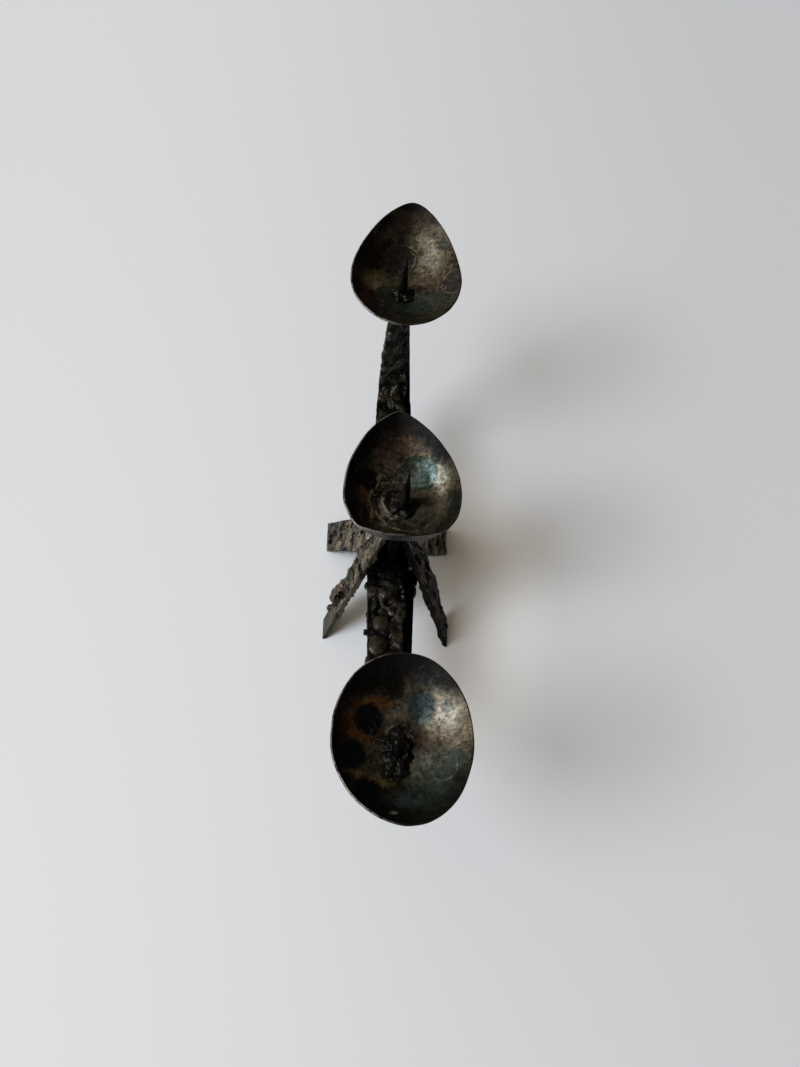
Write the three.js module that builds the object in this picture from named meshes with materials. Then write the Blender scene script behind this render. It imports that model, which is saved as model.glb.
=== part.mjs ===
// Three-arm iron candlestick, welded from flat bar, three beaten sheet pans and three spikes.
// Millimetres. The origin is on the table under the middle of the stand, Y runs along the arms,
// X runs across them and Z is up.
import * as THREE from 'three';

// Overall sizes
const overallLength = 444;
const footSpread = 94;

// Clearance between pieces that touch
const seatGap = 0.3;

// Flat bar of the two arms, which meet end to end under the centre post
const armThickness = 4;
const armTopHeight = 60;
const armHubWidth = 35;
const elbowRadius = 18;
const elbowSteps = 7;

// An arm runs level to its elbow and then climbs. The climb's run is how far it travels outwards
// on the way, and tipX is where the bar's end stands across the arms.
const arms = {
  back: { end: 1, climbRun: 10, elbowWidth: 25, tipWidth: 12.5, tipX: -2.5 },
  front: { end: -1, climbRun: 61, elbowWidth: 29, tipWidth: 14, tipX: -0.5 },
};

// Beaten sheet pans. The tip is the pointed side and the heel is the side across from it, both
// measured from the pan's widest line. The lowest point, where the spike stands, lies a little off
// the middle of that line, by lowX and lowY. Roundness and fullness are superellipse exponents: 2
// is an ellipse, less is more pointed and more is squarer. Wall exponents shape the section.
const sheetThickness = 1.5;
const panDepth = 15;
const panSegments = 48;
const panRings = 8;
const pans = {
  back: {
    tipSide: 1, middleX: 0.2, rimHeight: 172.5, lowX: -1.2, lowY: -4.3,
    halfWidth: 39, tipLength: 68, heelLength: 42, tipLean: 4.5,
    tipRoundness: 1.5, shoulderFullness: 1.6, heelFullness: 2.1, tipWall: 2, heelWall: 2.2,
  },
  centre: {
    tipSide: 1, middleX: 0.3, middleY: -12, rimHeight: 162.5, lowX: 2, lowY: -2.6,
    halfWidth: 38, tipLength: 61.5, heelLength: 33, tipLean: -3,
    tipRoundness: 1.3, shoulderFullness: 1.95, heelFullness: 2.9, tipWall: 2.1, heelWall: 7,
  },
  front: {
    tipSide: -1, middleX: 1.3, rimHeight: 170, lowX: -1.8, lowY: -3.5,
    halfWidth: 41, tipLength: 47, heelLength: 53, tipLean: 4,
    tipRoundness: 2.05, shoulderFullness: 1.8, heelFullness: 2.2, tipWall: 2.2, heelWall: 2.2,
  },
};

// The two outer pans reach the ends of the overall length.
for (const pan of Object.values(pans)) {
  pan.middleY ??= pan.tipSide * (overallLength / 2 - pan.tipLength);
  pan.low = new THREE.Vector3(pan.middleX + pan.lowX, pan.middleY + pan.lowY, pan.rimHeight - panDepth);
}

// How finely a pan's slope is measured, and how a direction is turned into a place on its rim
const slopeStep = 0.001;
const turnSearchRange = 1;
const turnSearchRounds = 30;

// Spikes for the candles: a short straight foot, then one long taper that is fuller at the middle
const spikeRadii = { back: 2.4, centre: 3.8, front: 2.9 };
// Radius of a spike at half its height, as a share of the radius at its foot
const spikeWaists = { back: 0.78, centre: 0.6, front: 0.62 };
const spikeFootHeight = 3;
const spikeTipRadius = 0.35;
const spikeSides = 14;
const spikeLengths = { back: 40, centre: 46, front: 44 };

// Weld round the foot of each spike: how far it spreads along X and Y, its height and how many
// lumps it has. The section goes round from the spike, as shares of the spread and the height.
const spikeWelds = {
  back: { spreadX: 7.5, spreadY: 8, height: 2.4, lumps: 5 },
  centre: { spreadX: 9, spreadY: 8, height: 2.6, lumps: 4 },
  front: { spreadX: 9, spreadY: 15, height: 4, lumps: 7 },
};
const spikeWeldSides = 28;
const spikeWeldLumpSize = 0.12;
const spikeWeldSection = [
  { spread: 0, height: 0 },
  { spread: 1, height: 0 },
  { spread: 0.9, height: 0.35 },
  { spread: 0.45, height: 0.75 },
  { spread: 0, height: 1 },
];

// Centre post: a flat plate on edge, standing on both arms and narrowing upwards
const postThickness = 6;
const postFootWidth = 28;
const postTopWidth = 20;
const postFootY = 0;
const postTopY = -6;

// Legs: flat bar in two coplanar pairs, like two tent sides leaning on the post. Sizes along Y are
// distances from the middle. Each leg's foot reaches from footNear to footFar, its far edge meets
// the post at peakFar, and its near edge meets the other leg of the pair at crotchHeight.
const legThickness = 3;
const legs = {
  front_left: { side: -1, end: -1, footNear: 34, footFar: 49.5, peakFar: 4, crotchHeight: 58 },
  front_right: { side: 1, end: -1, footNear: 30, footFar: 52, peakFar: 3.5, crotchHeight: 45 },
  back_left: { side: -1, end: 1, footNear: 24, footFar: 48, peakFar: 8, crotchHeight: 50 },
  back_right: { side: 1, end: 1, footNear: 25.5, footFar: 47, peakFar: 7, crotchHeight: 48 },
};

// Straight beads of weld along the legs. A bead's crest swells and shrinks by a share of its size.
const beadSize = 5;
const beadSteps = 9;
const beadRipple = 0.12;
const beadWaves = 2.5;
const beadEndInset = 1.5;
const beadCrest = { across: 0.45, up: 0.6 };
const peakBeadRun = 3;
const peakBeadCrest = { across: 2.7, up: 0.6 };

// Welds round the ends of the bars under the pans, round the foot of the post and under the arms
const weldCornerSwell = 1.1;
const panWeldDrop = 7;
const panWeldTopSpread = 4;
const panWeldFootSpread = 1.2;
const postWeldSection = [
  { spread: 0, height: 0 },
  { spread: 4, height: 0 },
  { spread: 2.4, height: 3 },
  { spread: 0.8, height: 5 },
  { spread: 0, height: 5 },
];
const hubWeldLength = 34;
const hubWeldWidth = 8;
const hubWeldHeight = 2.5;
const hubWeldCurveSegments = 8;

const sheetMetal = { color: 0x2c2620, roughness: 0.35, metalness: 0.9 };
const crustedBar = { color: 0x1d1a17, roughness: 0.6, metalness: 0.8 };
const legBar = { color: 0x3a342d, roughness: 0.65, metalness: 0.7 };
const weldMetal = { color: 0x151413, roughness: 0.5, metalness: 0.8 };
const spikeMetal = { color: 0x0f0e0e, roughness: 0.45, metalness: 0.9 };

const candlestick = new THREE.Group();

function addPiece(name, geometry, finish) {
  const mesh = new THREE.Mesh(geometry, new THREE.MeshStandardMaterial(finish));
  mesh.name = name;
  candlestick.add(mesh);
  return mesh;
}

// Six times the volume of a triangle mesh, which is negative when its faces point inwards
function signedVolume(points, triangles) {
  return triangles.reduce((sum, [a, b, c]) => {
    return sum + points[a].dot(new THREE.Vector3().crossVectors(points[b], points[c]));
  }, 0);
}

// Closed skin over a row of loops of points. A loop of one point is a pole. A row that doesn't
// start or end with a pole is capped there, or with ring set its last loop joins its first.
function skin(loops, ring = false) {
  const rows = [...loops];
  if (!ring && rows[0].length > 1) rows.unshift([middle(rows[0])]);
  if (!ring && rows.at(-1).length > 1) rows.push([middle(rows.at(-1))]);
  const points = rows.flat();
  const starts = rows.map((row, i) => rows.slice(0, i).reduce((sum, r) => sum + r.length, 0));
  const triangles = [];
  const joins = ring ? rows.length : rows.length - 1;
  for (let i = 0; i < joins; i += 1) {
    const next = (i + 1) % rows.length;
    const count = Math.max(rows[i].length, rows[next].length);
    for (let j = 0; j < count; j += 1) {
      const k = (j + 1) % count;
      const a = starts[i] + (rows[i].length > 1 ? j : 0);
      const b = starts[i] + (rows[i].length > 1 ? k : 0);
      const c = starts[next] + (rows[next].length > 1 ? k : 0);
      const d = starts[next] + (rows[next].length > 1 ? j : 0);
      if (a !== b) triangles.push([a, b, c]);
      if (c !== d) triangles.push([a, c, d]);
    }
  }
  if (signedVolume(points, triangles) < 0) triangles.forEach((triangle) => triangle.reverse());
  const geometry = new THREE.BufferGeometry().setFromPoints(points);
  geometry.setIndex(triangles.flat());
  geometry.computeVertexNormals();
  return geometry;
}

function middle(loop) {
  const sum = loop.reduce((total, point) => total.add(point), new THREE.Vector3());
  return sum.divideScalar(loop.length);
}

// A signed power, which keeps a superellipse's four quarters alike
function signedPower(value, power) {
  return Math.sign(value) * Math.abs(value) ** power;
}

// Point of a pan's outer face. turn goes round the rim from +X, and reach goes from 0 at the
// lowest point to 1 at the rim.
function panFace(pan, turn, reach) {
  const across = Math.cos(turn);
  const along = Math.sin(turn);
  const onTip = along > 0;
  const acrossPower = 2 / (onTip ? pan.tipRoundness : pan.heelFullness);
  const alongPower = 2 / (onTip ? pan.shoulderFullness : 2);
  const length = onTip ? pan.tipLength : pan.heelLength;
  const share = signedPower(along, alongPower);
  const lean = onTip ? pan.tipLean * share ** 2 : 0;
  const rimX = pan.middleX + pan.halfWidth * signedPower(across, acrossPower) + lean;
  const rimY = pan.middleY + pan.tipSide * length * share;
  const wall = THREE.MathUtils.lerp(pan.tipWall, pan.heelWall, (1 - along) / 2);
  return new THREE.Vector3(
    THREE.MathUtils.lerp(pan.low.x, rimX, reach),
    THREE.MathUtils.lerp(pan.low.y, rimY, reach),
    pan.low.z + panDepth * reach ** wall,
  );
}

// The same point, lifted off the outer face at right angles to it
function panPoint(pan, turn, reach, lift) {
  const step = slopeStep;
  const inner = Math.max(reach - step, step);
  const ahead = panFace(pan, turn + step, inner).sub(panFace(pan, turn - step, inner));
  const outward = panFace(pan, turn, inner + step).sub(panFace(pan, turn, inner));
  const normal = outward.cross(ahead).normalize();
  if (normal.z < 0) normal.negate();
  return panFace(pan, turn, reach).addScaledVector(normal, lift);
}

// How far out to go along one turn to be a given distance from the lowest point, seen from above
function reachAt(pan, turn, spreadX, spreadY) {
  const fromLow = panFace(pan, turn, 1).sub(pan.low);
  return 1 / Math.hypot(fromLow.x / spreadX, fromLow.y / spreadY);
}

function turns(count) {
  return Array.from({ length: count }, (_, i) => (2 * Math.PI * i) / count);
}

function panGeometry(pan) {
  const rings = Array.from({ length: panRings }, (_, i) => (i + 1) / panRings);
  const outer = rings.map((reach) => turns(panSegments).map((turn) => panPoint(pan, turn, reach, 0)));
  const inner = rings.map((reach) => {
    return turns(panSegments).map((turn) => panPoint(pan, turn, reach, sheetThickness));
  });
  const lowInside = pan.low.clone().setZ(pan.low.z + sheetThickness);
  return skin([[pan.low], ...outer, ...inner.reverse(), [lowInside]]);
}

function spikeGeometry(pan, radius, waist, length) {
  const profile = [
    new THREE.Vector2(0, 0),
    new THREE.Vector2(radius, 0),
    new THREE.Vector2(radius, spikeFootHeight),
    new THREE.Vector2(radius * waist, length / 2),
    new THREE.Vector2(spikeTipRadius, length - spikeTipRadius),
    new THREE.Vector2(0, length),
  ];
  const geometry = new THREE.LatheGeometry(profile, spikeSides);
  geometry.rotateX(Math.PI / 2);
  return geometry.translate(pan.low.x, pan.low.y, pan.low.z + sheetThickness + seatGap);
}

// Turn round the rim at which it lies in a given direction from the lowest point, found by halving
// the range between two turns
function turnToward(pan, direction) {
  let before = direction - turnSearchRange;
  let after = direction + turnSearchRange;
  for (let i = 0; i < turnSearchRounds; i += 1) {
    const turn = (before + after) / 2;
    const rim = panFace(pan, turn, 1).sub(pan.low);
    const past = Math.cos(direction) * rim.y * pan.tipSide > Math.sin(direction) * rim.x;
    if (past) after = turn;
    else before = turn;
  }
  return (before + after) / 2;
}

// Lumpy collar lying in the pan round the foot of its spike
function spikeWeldGeometry(pan, radius, weld) {
  const hole = radius + seatGap;
  const floor = sheetThickness + seatGap;
  const loops = spikeWeldSection.map((level) => turns(spikeWeldSides).map((direction) => {
    const lump = 1 + spikeWeldLumpSize * Math.sin(weld.lumps * direction);
    const spreadX = THREE.MathUtils.lerp(hole, weld.spreadX * lump, level.spread);
    const spreadY = THREE.MathUtils.lerp(hole, weld.spreadY * lump, level.spread);
    const turn = turnToward(pan, direction);
    const point = panFace(pan, turn, reachAt(pan, turn, spreadX, spreadY));
    return point.setZ(point.z + floor + weld.height * lump * level.height);
  }));
  return skin(loops, true);
}

// Middle line of an arm in the YZ plane, as points with the direction of travel
function armPath(arm, pan) {
  const level = armTopHeight - armThickness / 2;
  const start = new THREE.Vector2(arm.end * seatGap / 2, level);
  const corner = new THREE.Vector2(pan.low.y - arm.end * arm.climbRun, level);
  const tip = new THREE.Vector2(pan.low.y, pan.low.z - seatGap);
  const along = corner.clone().sub(start).normalize();
  const up = tip.clone().sub(corner).normalize();
  const bend = Math.acos(along.dot(up));
  const setback = elbowRadius * Math.tan(bend / 2);
  const bendStart = corner.clone().addScaledVector(along, -setback);
  const bendCentre = bendStart.clone().add(new THREE.Vector2(0, elbowRadius));
  const path = [{ at: start, heading: along }];
  for (let i = 0; i <= elbowSteps; i += 1) {
    const angle = (bend * i) / elbowSteps;
    const heading = new THREE.Vector2(arm.end * Math.cos(angle), Math.sin(angle));
    const inward = new THREE.Vector2(-heading.y * arm.end, heading.x * arm.end);
    path.push({ at: bendCentre.clone().addScaledVector(inward, -elbowRadius), heading });
  }
  path.push({ at: tip, heading: up });
  return path;
}

// The bar follows its path, narrows to the elbow and again to the tip, and ends in a level cut.
function armGeometry(arm, pan) {
  const path = armPath(arm, pan);
  const level = path[0].at.y;
  const tip = path.at(-1).at;
  const elbowY = pan.low.y - arm.end * arm.climbRun;
  const loops = path.map(({ at, heading }, i) => {
    const climb = (at.y - level) / (tip.y - level);
    const run = Math.min(Math.abs(at.x / elbowY), 1);
    const width = climb > 0
      ? THREE.MathUtils.lerp(arm.elbowWidth, arm.tipWidth, climb)
      : THREE.MathUtils.lerp(armHubWidth, arm.elbowWidth, run);
    const shift = arm.tipX * Math.max(climb, 0);
    const normal = new THREE.Vector2(-heading.y, heading.x);
    const faces = [-1, 1].map((face) => {
      const point = at.clone().addScaledVector(normal, face * armThickness / 2);
      if (i === path.length - 1) point.addScaledVector(heading, (tip.y - point.y) / heading.y);
      return point;
    });
    return [
      new THREE.Vector3(shift - width / 2, faces[0].x, faces[0].y),
      new THREE.Vector3(shift + width / 2, faces[0].x, faces[0].y),
      new THREE.Vector3(shift + width / 2, faces[1].x, faces[1].y),
      new THREE.Vector3(shift - width / 2, faces[1].x, faces[1].y),
    ];
  });
  return skin(loops);
}

// Rectangle round a centre, as its corners with two points between each pair
function rectangle(centreX, centreY, halfX, halfY, spread) {
  const corners = [[1, -1], [1, 1], [-1, 1], [-1, -1]];
  return corners.flatMap(([x, y], i) => {
    const [nextX, nextY] = corners[(i + 1) % corners.length];
    return [0, 1 / 3, 2 / 3].map((share) => {
      const acrossX = THREE.MathUtils.lerp(x, nextX, share);
      const acrossY = THREE.MathUtils.lerp(y, nextY, share);
      const outward = new THREE.Vector2(acrossX, acrossY);
      if (share > 0) outward.set(Math.trunc(acrossX), Math.trunc(acrossY));
      outward.setLength(share > 0 ? spread : spread * weldCornerSwell);
      return new THREE.Vector2(centreX + acrossX * halfX, centreY + acrossY * halfY).add(outward);
    });
  });
}

function flat(loop, height) {
  return loop.map((point) => new THREE.Vector3(point.x, point.y, height));
}

// Weld round the end of a bar that carries a pan. It fills the corner under the pan.
function panWeldGeometry(pan, tip) {
  const top = pan.low.z - seatGap;
  const low = top - panWeldDrop;
  const holeX = tip.halfX + seatGap;
  const holeY = tip.halfY + seatGap;
  const footY = tip.y - tip.slope * panWeldDrop;
  return skin([
    flat(rectangle(tip.x, footY, holeX, holeY, 0), low),
    flat(rectangle(tip.x, footY, holeX, holeY, panWeldFootSpread), low),
    flat(rectangle(tip.x, tip.y, holeX, holeY, panWeldTopSpread), top),
    flat(rectangle(tip.x, tip.y, holeX, holeY, 0), top),
  ], true);
}

function armTip(arm, pan) {
  const { at, heading } = armPath(arm, pan).at(-1);
  return {
    x: arm.tipX,
    y: at.x,
    halfX: (arm.tipWidth + (arm.elbowWidth - arm.tipWidth) * panWeldDrop / (at.y - armTopHeight)) / 2,
    halfY: armThickness / 2 / heading.y,
    slope: heading.x / heading.y,
  };
}

// Outline in the YZ plane, pushed out along X to a given length with its middle at X = 0
function pushAcross(outline, length) {
  const options = { depth: length, bevelEnabled: false, curveSegments: hubWeldCurveSegments };
  const geometry = new THREE.ExtrudeGeometry(outline, options);
  const toPlace = new THREE.Matrix4().makeBasis(
    new THREE.Vector3(0, 1, 0),
    new THREE.Vector3(0, 0, 1),
    new THREE.Vector3(1, 0, 0),
  );
  toPlace.setPosition(-length / 2, 0, 0);
  return geometry.applyMatrix4(toPlace);
}

const postFootHeight = armTopHeight + seatGap;
const postTopHeight = pans.centre.low.z - seatGap;

function postGeometry() {
  const outline = new THREE.Shape();
  outline.moveTo(postFootY - postFootWidth / 2, postFootHeight);
  outline.lineTo(postFootY + postFootWidth / 2, postFootHeight);
  outline.lineTo(postTopY + postTopWidth / 2, postTopHeight);
  outline.lineTo(postTopY - postTopWidth / 2, postTopHeight);
  outline.closePath();
  return pushAcross(outline, postThickness);
}

function postTip() {
  const height = postTopHeight - postFootHeight;
  return {
    x: 0,
    y: postTopY,
    halfX: postThickness / 2,
    halfY: (postTopWidth + (postFootWidth - postTopWidth) * panWeldDrop / height) / 2,
    slope: (postTopY - postFootY) / height,
  };
}

// The legs lean so that their inner faces just clear the upper edges of the arms.
const footHalf = footSpread / 2;
const legRun = footHalf - armHubWidth / 2 - seatGap;
const legReach = Math.hypot(legRun, armTopHeight);
const legLean = Math.atan2(armTopHeight, legRun) + Math.asin(legThickness / legReach);
const postSide = postThickness / 2 + seatGap;

// Height of the legs' outer face, and half width between their inner faces
const legOuterHeight = (x) => (footHalf - x) * Math.tan(legLean);
const legInnerHalf = (height) => footHalf - height / Math.tan(legLean) - legThickness / Math.sin(legLean);

// One face of a leg. depth is how far it lies behind the outer face.
function legFace(leg, depth) {
  const rise = Math.sin(legLean);
  const inset = Math.cos(legLean);
  const footAt = depth * inset / rise;
  const peakAt = (footHalf - postSide - depth * rise) / inset;
  const farAtPeak = (footHalf - postSide) / inset;
  const far = (at) => THREE.MathUtils.lerp(leg.footFar, leg.peakFar, at / farAtPeak);
  const near = (at) => THREE.MathUtils.lerp(leg.footNear, seatGap / 2, at / (leg.crotchHeight / rise));
  const outline = [
    [near(footAt), footAt],
    [far(footAt), footAt],
    [far(peakAt), peakAt],
    [seatGap / 2, peakAt],
    [seatGap / 2, leg.crotchHeight / rise],
  ];
  return outline.map(([y, at]) => new THREE.Vector3(
    leg.side * (footHalf - at * inset - depth * rise),
    leg.end * y,
    at * rise - depth * inset,
  ));
}

// A straight bead of weld along Y. Its section has a root, two toes and a crest between the toes,
// as [x, z] pairs, and the crest swells and shrinks along the bead.
function beadGeometry({ root, toes, crest }, fromY, toY) {
  const loops = Array.from({ length: beadSteps }, (_, i) => {
    const share = i / (beadSteps - 1);
    const swell = 1 + beadRipple * Math.sin(2 * Math.PI * beadWaves * share);
    const swollen = crest.map((value, axis) => root[axis] + (value - root[axis]) * swell);
    const y = THREE.MathUtils.lerp(fromY, toY, share);
    return [root, toes[0], swollen, toes[1]].map(([x, z]) => new THREE.Vector3(x, y, z));
  });
  return skin(loops);
}

// Bead in the corner between an arm's upper face and the inner face of a leg
function legWeldGeometry(leg) {
  const floor = armTopHeight + seatGap;
  const top = floor + beadSize;
  const wall = (height) => legInnerHalf(height) - seatGap / Math.sin(legLean);
  const section = {
    root: [leg.side * wall(floor), floor],
    toes: [
      [leg.side * wall(top), top],
      [leg.side * (wall(floor) - beadSize), floor],
    ],
    crest: [leg.side * (wall(top) - beadSize * beadCrest.across), floor + beadSize * beadCrest.up],
  };
  const share = top / legOuterHeight(postSide);
  const far = THREE.MathUtils.lerp(leg.footFar, leg.peakFar, share);
  return beadGeometry(section, leg.end * beadEndInset, leg.end * (far - beadEndInset));
}

// Bead over the peak of a pair of legs, where it leans on the side of the post
function peakWeldGeometry(side) {
  const onLegs = (x) => legOuterHeight(x) + seatGap / Math.cos(legLean);
  const toe = postSide + peakBeadRun;
  const crest = postSide + peakBeadCrest.across;
  const section = {
    root: [side * postSide, onLegs(postSide)],
    toes: [[side * toe, onLegs(toe)], [side * postSide, onLegs(postSide) + beadSize]],
    crest: [side * crest, onLegs(postSide) + peakBeadCrest.up],
  };
  const pair = Object.values(legs).filter((leg) => leg.side === side);
  const front = pair.find((leg) => leg.end < 0);
  const back = pair.find((leg) => leg.end > 0);
  return beadGeometry(section, -front.peakFar, back.peakFar);
}

// Weld round the foot of the post, on the arms
function postWeldGeometry() {
  const halfX = postThickness / 2 + seatGap;
  const halfY = postFootWidth / 2 + seatGap;
  return skin(postWeldSection.map((level) => {
    return flat(rectangle(0, postFootY, halfX, halfY, level.spread), postFootHeight + level.height);
  }), true);
}

// Bead under the joint between the two arms
function hubWeldGeometry() {
  const ceiling = armTopHeight - armThickness - seatGap;
  const outline = new THREE.Shape();
  outline.moveTo(-hubWeldWidth / 2, ceiling);
  outline.quadraticCurveTo(0, ceiling - 2 * hubWeldHeight, hubWeldWidth / 2, ceiling);
  outline.closePath();
  return pushAcross(outline, hubWeldLength);
}

for (const [place, pan] of Object.entries(pans)) {
  addPiece(`drip_pan_${place}`, panGeometry(pan), sheetMetal);
  const radius = spikeRadii[place];
  const spike = spikeGeometry(pan, radius, spikeWaists[place], spikeLengths[place]);
  addPiece(`spike_${place}`, spike, spikeMetal);
  addPiece(`spike_weld_${place}`, spikeWeldGeometry(pan, radius, spikeWelds[place]), weldMetal);
  const tip = place === 'centre' ? postTip() : armTip(arms[place], pan);
  addPiece(`pan_weld_${place}`, panWeldGeometry(pan, tip), weldMetal);
}

for (const [place, arm] of Object.entries(arms)) {
  addPiece(`arm_${place}`, armGeometry(arm, pans[place]), crustedBar);
}

addPiece('centre_post', postGeometry(), crustedBar);
addPiece('post_weld', postWeldGeometry(), weldMetal);
addPiece('hub_weld', hubWeldGeometry(), weldMetal);

for (const [place, leg] of Object.entries(legs)) {
  addPiece(`leg_${place}`, skin([legFace(leg, 0), legFace(leg, legThickness)]), legBar);
  addPiece(`leg_weld_${place}`, legWeldGeometry(leg), weldMetal);
}

addPiece('peak_weld_left', peakWeldGeometry(-1), weldMetal);
addPiece('peak_weld_right', peakWeldGeometry(1), weldMetal);

export default candlestick;
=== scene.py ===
# %% [markdown]
# A hand-made iron candlestick, in Blender
#
# The real object is welded from flat bar and three beaten sheet pans, and each pan has a spike for
# a candle. Its solids come packed, in metres, and they are the fixed frame here. This notebook
# gives them the skin that fire, hammer and torch left: every visible piece is a finer mesh that
# lies where its solid lies, with a material made only of nodes.

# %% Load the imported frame
import math

import bmesh
import bpy
import numpy as np
from mathutils import Matrix, Vector


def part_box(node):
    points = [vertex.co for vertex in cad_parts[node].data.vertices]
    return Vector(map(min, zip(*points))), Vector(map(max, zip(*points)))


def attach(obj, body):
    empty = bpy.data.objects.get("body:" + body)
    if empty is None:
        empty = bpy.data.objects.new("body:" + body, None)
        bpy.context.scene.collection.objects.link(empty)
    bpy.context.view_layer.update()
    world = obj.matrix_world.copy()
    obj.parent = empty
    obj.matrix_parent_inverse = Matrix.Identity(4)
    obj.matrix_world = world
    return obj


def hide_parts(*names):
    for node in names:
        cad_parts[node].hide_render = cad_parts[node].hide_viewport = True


MM = 0.001


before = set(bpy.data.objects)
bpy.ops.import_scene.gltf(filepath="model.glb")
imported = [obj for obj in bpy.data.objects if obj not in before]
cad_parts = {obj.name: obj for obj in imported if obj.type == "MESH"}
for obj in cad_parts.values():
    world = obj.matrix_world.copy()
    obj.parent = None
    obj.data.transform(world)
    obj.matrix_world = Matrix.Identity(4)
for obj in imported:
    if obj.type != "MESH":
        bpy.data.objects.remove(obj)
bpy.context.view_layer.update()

# %% [markdown]
# ## Writing formulas as nodes
#
# A node tree is a formula drawn as a picture. Long formulas are easier to read as text, so a small
# class wraps a socket: adding or multiplying two fields places the Math node that does it. The same
# class works in a material and in a Geometry Nodes tree, because both have Math nodes.

# %% Nodes
def plug(socket, value):
    """Links a field to an input, or sets the input to a number, a colour or a vector."""
    if isinstance(value, Field):
        socket.id_data.links.new(value.socket, socket)
    elif isinstance(value, bpy.types.NodeSocket):
        socket.id_data.links.new(value, socket)
    else:
        socket.default_value = value


def add(tree, kind, inputs=None, **settings):
    """A node with its settings made and its inputs plugged or filled, by name or by place."""
    made = tree.nodes.new(kind)
    for key, value in settings.items():
        setattr(made, key, value)
    for key, value in (inputs or {}).items():
        plug(made.inputs[key], value)
    return made


def read(tree, kind, inputs=None, output=0, **settings):
    """One output of a new node, as a field."""
    return Field(add(tree, kind, inputs, **settings).outputs[output])


# %% Fields
class Field:
    """A socket that can stand in a formula. It knows its tree."""

    def __init__(self, socket):
        self.socket = socket
        self.tree = socket.id_data

    def math(self, operation, *others):
        values = dict(enumerate((self, *others)))
        return read(self.tree, "ShaderNodeMath", values, operation=operation)

    def vector(self, operation, inputs=None, output=0):
        values = {0: self, **(inputs or {})}
        return read(self.tree, "ShaderNodeVectorMath", values, output, operation=operation)

    def __add__(self, other):
        return self.math("ADD", other)

    def __sub__(self, other):
        return self.math("SUBTRACT", other)

    def __mul__(self, other):
        return self.math("MULTIPLY", other)

    def __truediv__(self, other):
        return self.math("DIVIDE", other)

    def __rsub__(self, other):
        return self.math("MULTIPLY_ADD", -1.0, other)

    def __rtruediv__(self, other):
        return self.math("POWER", -1.0) * other

    __radd__ = __add__
    __rmul__ = __mul__

    def smooth(self, start, end):
        """0 before start and 1 after end, with a soft rise between. Start may be the larger."""
        ends = {"Value": self, "From Min": start, "From Max": end}
        return read(self.tree, "ShaderNodeMapRange", ends, interpolation_type="SMOOTHSTEP")

    def plus(self, other):
        return self.vector("ADD", {1: other})

    def minus(self, other):
        return self.vector("SUBTRACT", {1: other})

    def times(self, factor):
        """A vector made longer or shorter, or a colour made lighter or darker."""
        return self.vector("SCALE", {"Scale": factor})

    def dot(self, other):
        return self.vector("DOT_PRODUCT", {1: other}, "Value")

    def parts(self):
        made = add(self.tree, "ShaderNodeSeparateXYZ", {0: self})
        return [Field(made.outputs[i]) for i in range(3)]

    def noise(self, size, detail=2.0, roughness=0.5, output=0):
        """Cloudy noise at this place, with features about as large as size: 0 gives a number
        from 0 to 1, and 1 a colour."""
        values = {"Vector": self, "Scale": 1.0 / size, "Detail": detail, "Roughness": roughness}
        return read(self.tree, "ShaderNodeTexNoise", values, output)

    def cells(self, size):
        """Voronoi cells about as large as size: distance from each middle, and a random colour."""
        made = add(self.tree, "ShaderNodeTexVoronoi", {"Vector": self, "Scale": 1.0 / size})
        return Field(made.outputs["Distance"]), Field(made.outputs["Color"])

    def push(self, size, amount, **cloud):
        """A random push at this place, of about half of amount at most."""
        return self.noise(size, output=1, **cloud).minus((0.5, 0.5, 0.5)).times(amount)

    def warped(self, size, amount):
        """The same place, pushed about, so that what is drawn there gets an uneven edge."""
        return self.plus(self.push(size, amount))


def joined(x, y, z):
    return read(x.tree, "ShaderNodeCombineXYZ", {0: x, 1: y, 2: z})


def blend(factor, first, second):
    """The first colour where the factor is 0, and the second where it is 1."""
    return read(factor.tree, "ShaderNodeMix", {0: factor, 6: first, 7: second}, 2, data_type="RGBA")


# %% [markdown]
# ## The camera
#
# The picture is taken from above, from the near end of the row, with the camera held almost
# straight. Its place and its three directions were fitted to the rims, the feet and the shadows,
# so a rim drawn by the same rule as the solid's falls where the real one does.

# %% Camera
CAMERA_PLACE = Vector((-0.0436, -0.3501, 0.7706))
CAMERA_RIGHT = Vector((0.99703, 0.01230, 0.07599))
CAMERA_UP = Vector((-0.04533, 0.89161, 0.45053))
CAMERA_AHEAD = Vector((0.06221, 0.45263, -0.88952))
FOCAL_PIXELS = 1100.0
PICTURE_HEIGHT = 1067.0


def new_object(name, data):
    made = bpy.data.objects.new(name, data)
    bpy.context.scene.collection.objects.link(made)
    return made


def mesh_object(name, mesh):
    """An object with a finished bmesh in it."""
    data = bpy.data.meshes.new(name)
    mesh.to_mesh(data)
    mesh.free()
    return new_object(name, data)


camera = new_object("camera", bpy.data.cameras.new("camera"))
camera.data.lens = FOCAL_PIXELS * camera.data.sensor_width / PICTURE_HEIGHT
camera.data.clip_start = 0.01
camera.data.clip_end = 50.0
camera_turn = Matrix((CAMERA_RIGHT, CAMERA_UP, -CAMERA_AHEAD)).transposed()
camera.matrix_world = Matrix.Translation(CAMERA_PLACE) @ camera_turn.to_4x4()
bpy.context.scene.camera = camera
print("lens in millimetres:", round(camera.data.lens, 2))

# %% [markdown]
# ## The light
#
# A tall window on the left lights the object, which is why the pans are bright on their right walls
# and nearly black on their left ones. It is seen as two broad suns, one above the other, whose wide
# angles give soft shadows evenly over the table. The world is a dim, warm room that is lighter
# towards the window. Area lamps would do too, but their light falls off over the table when it is
# seen from the sides.

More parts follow.
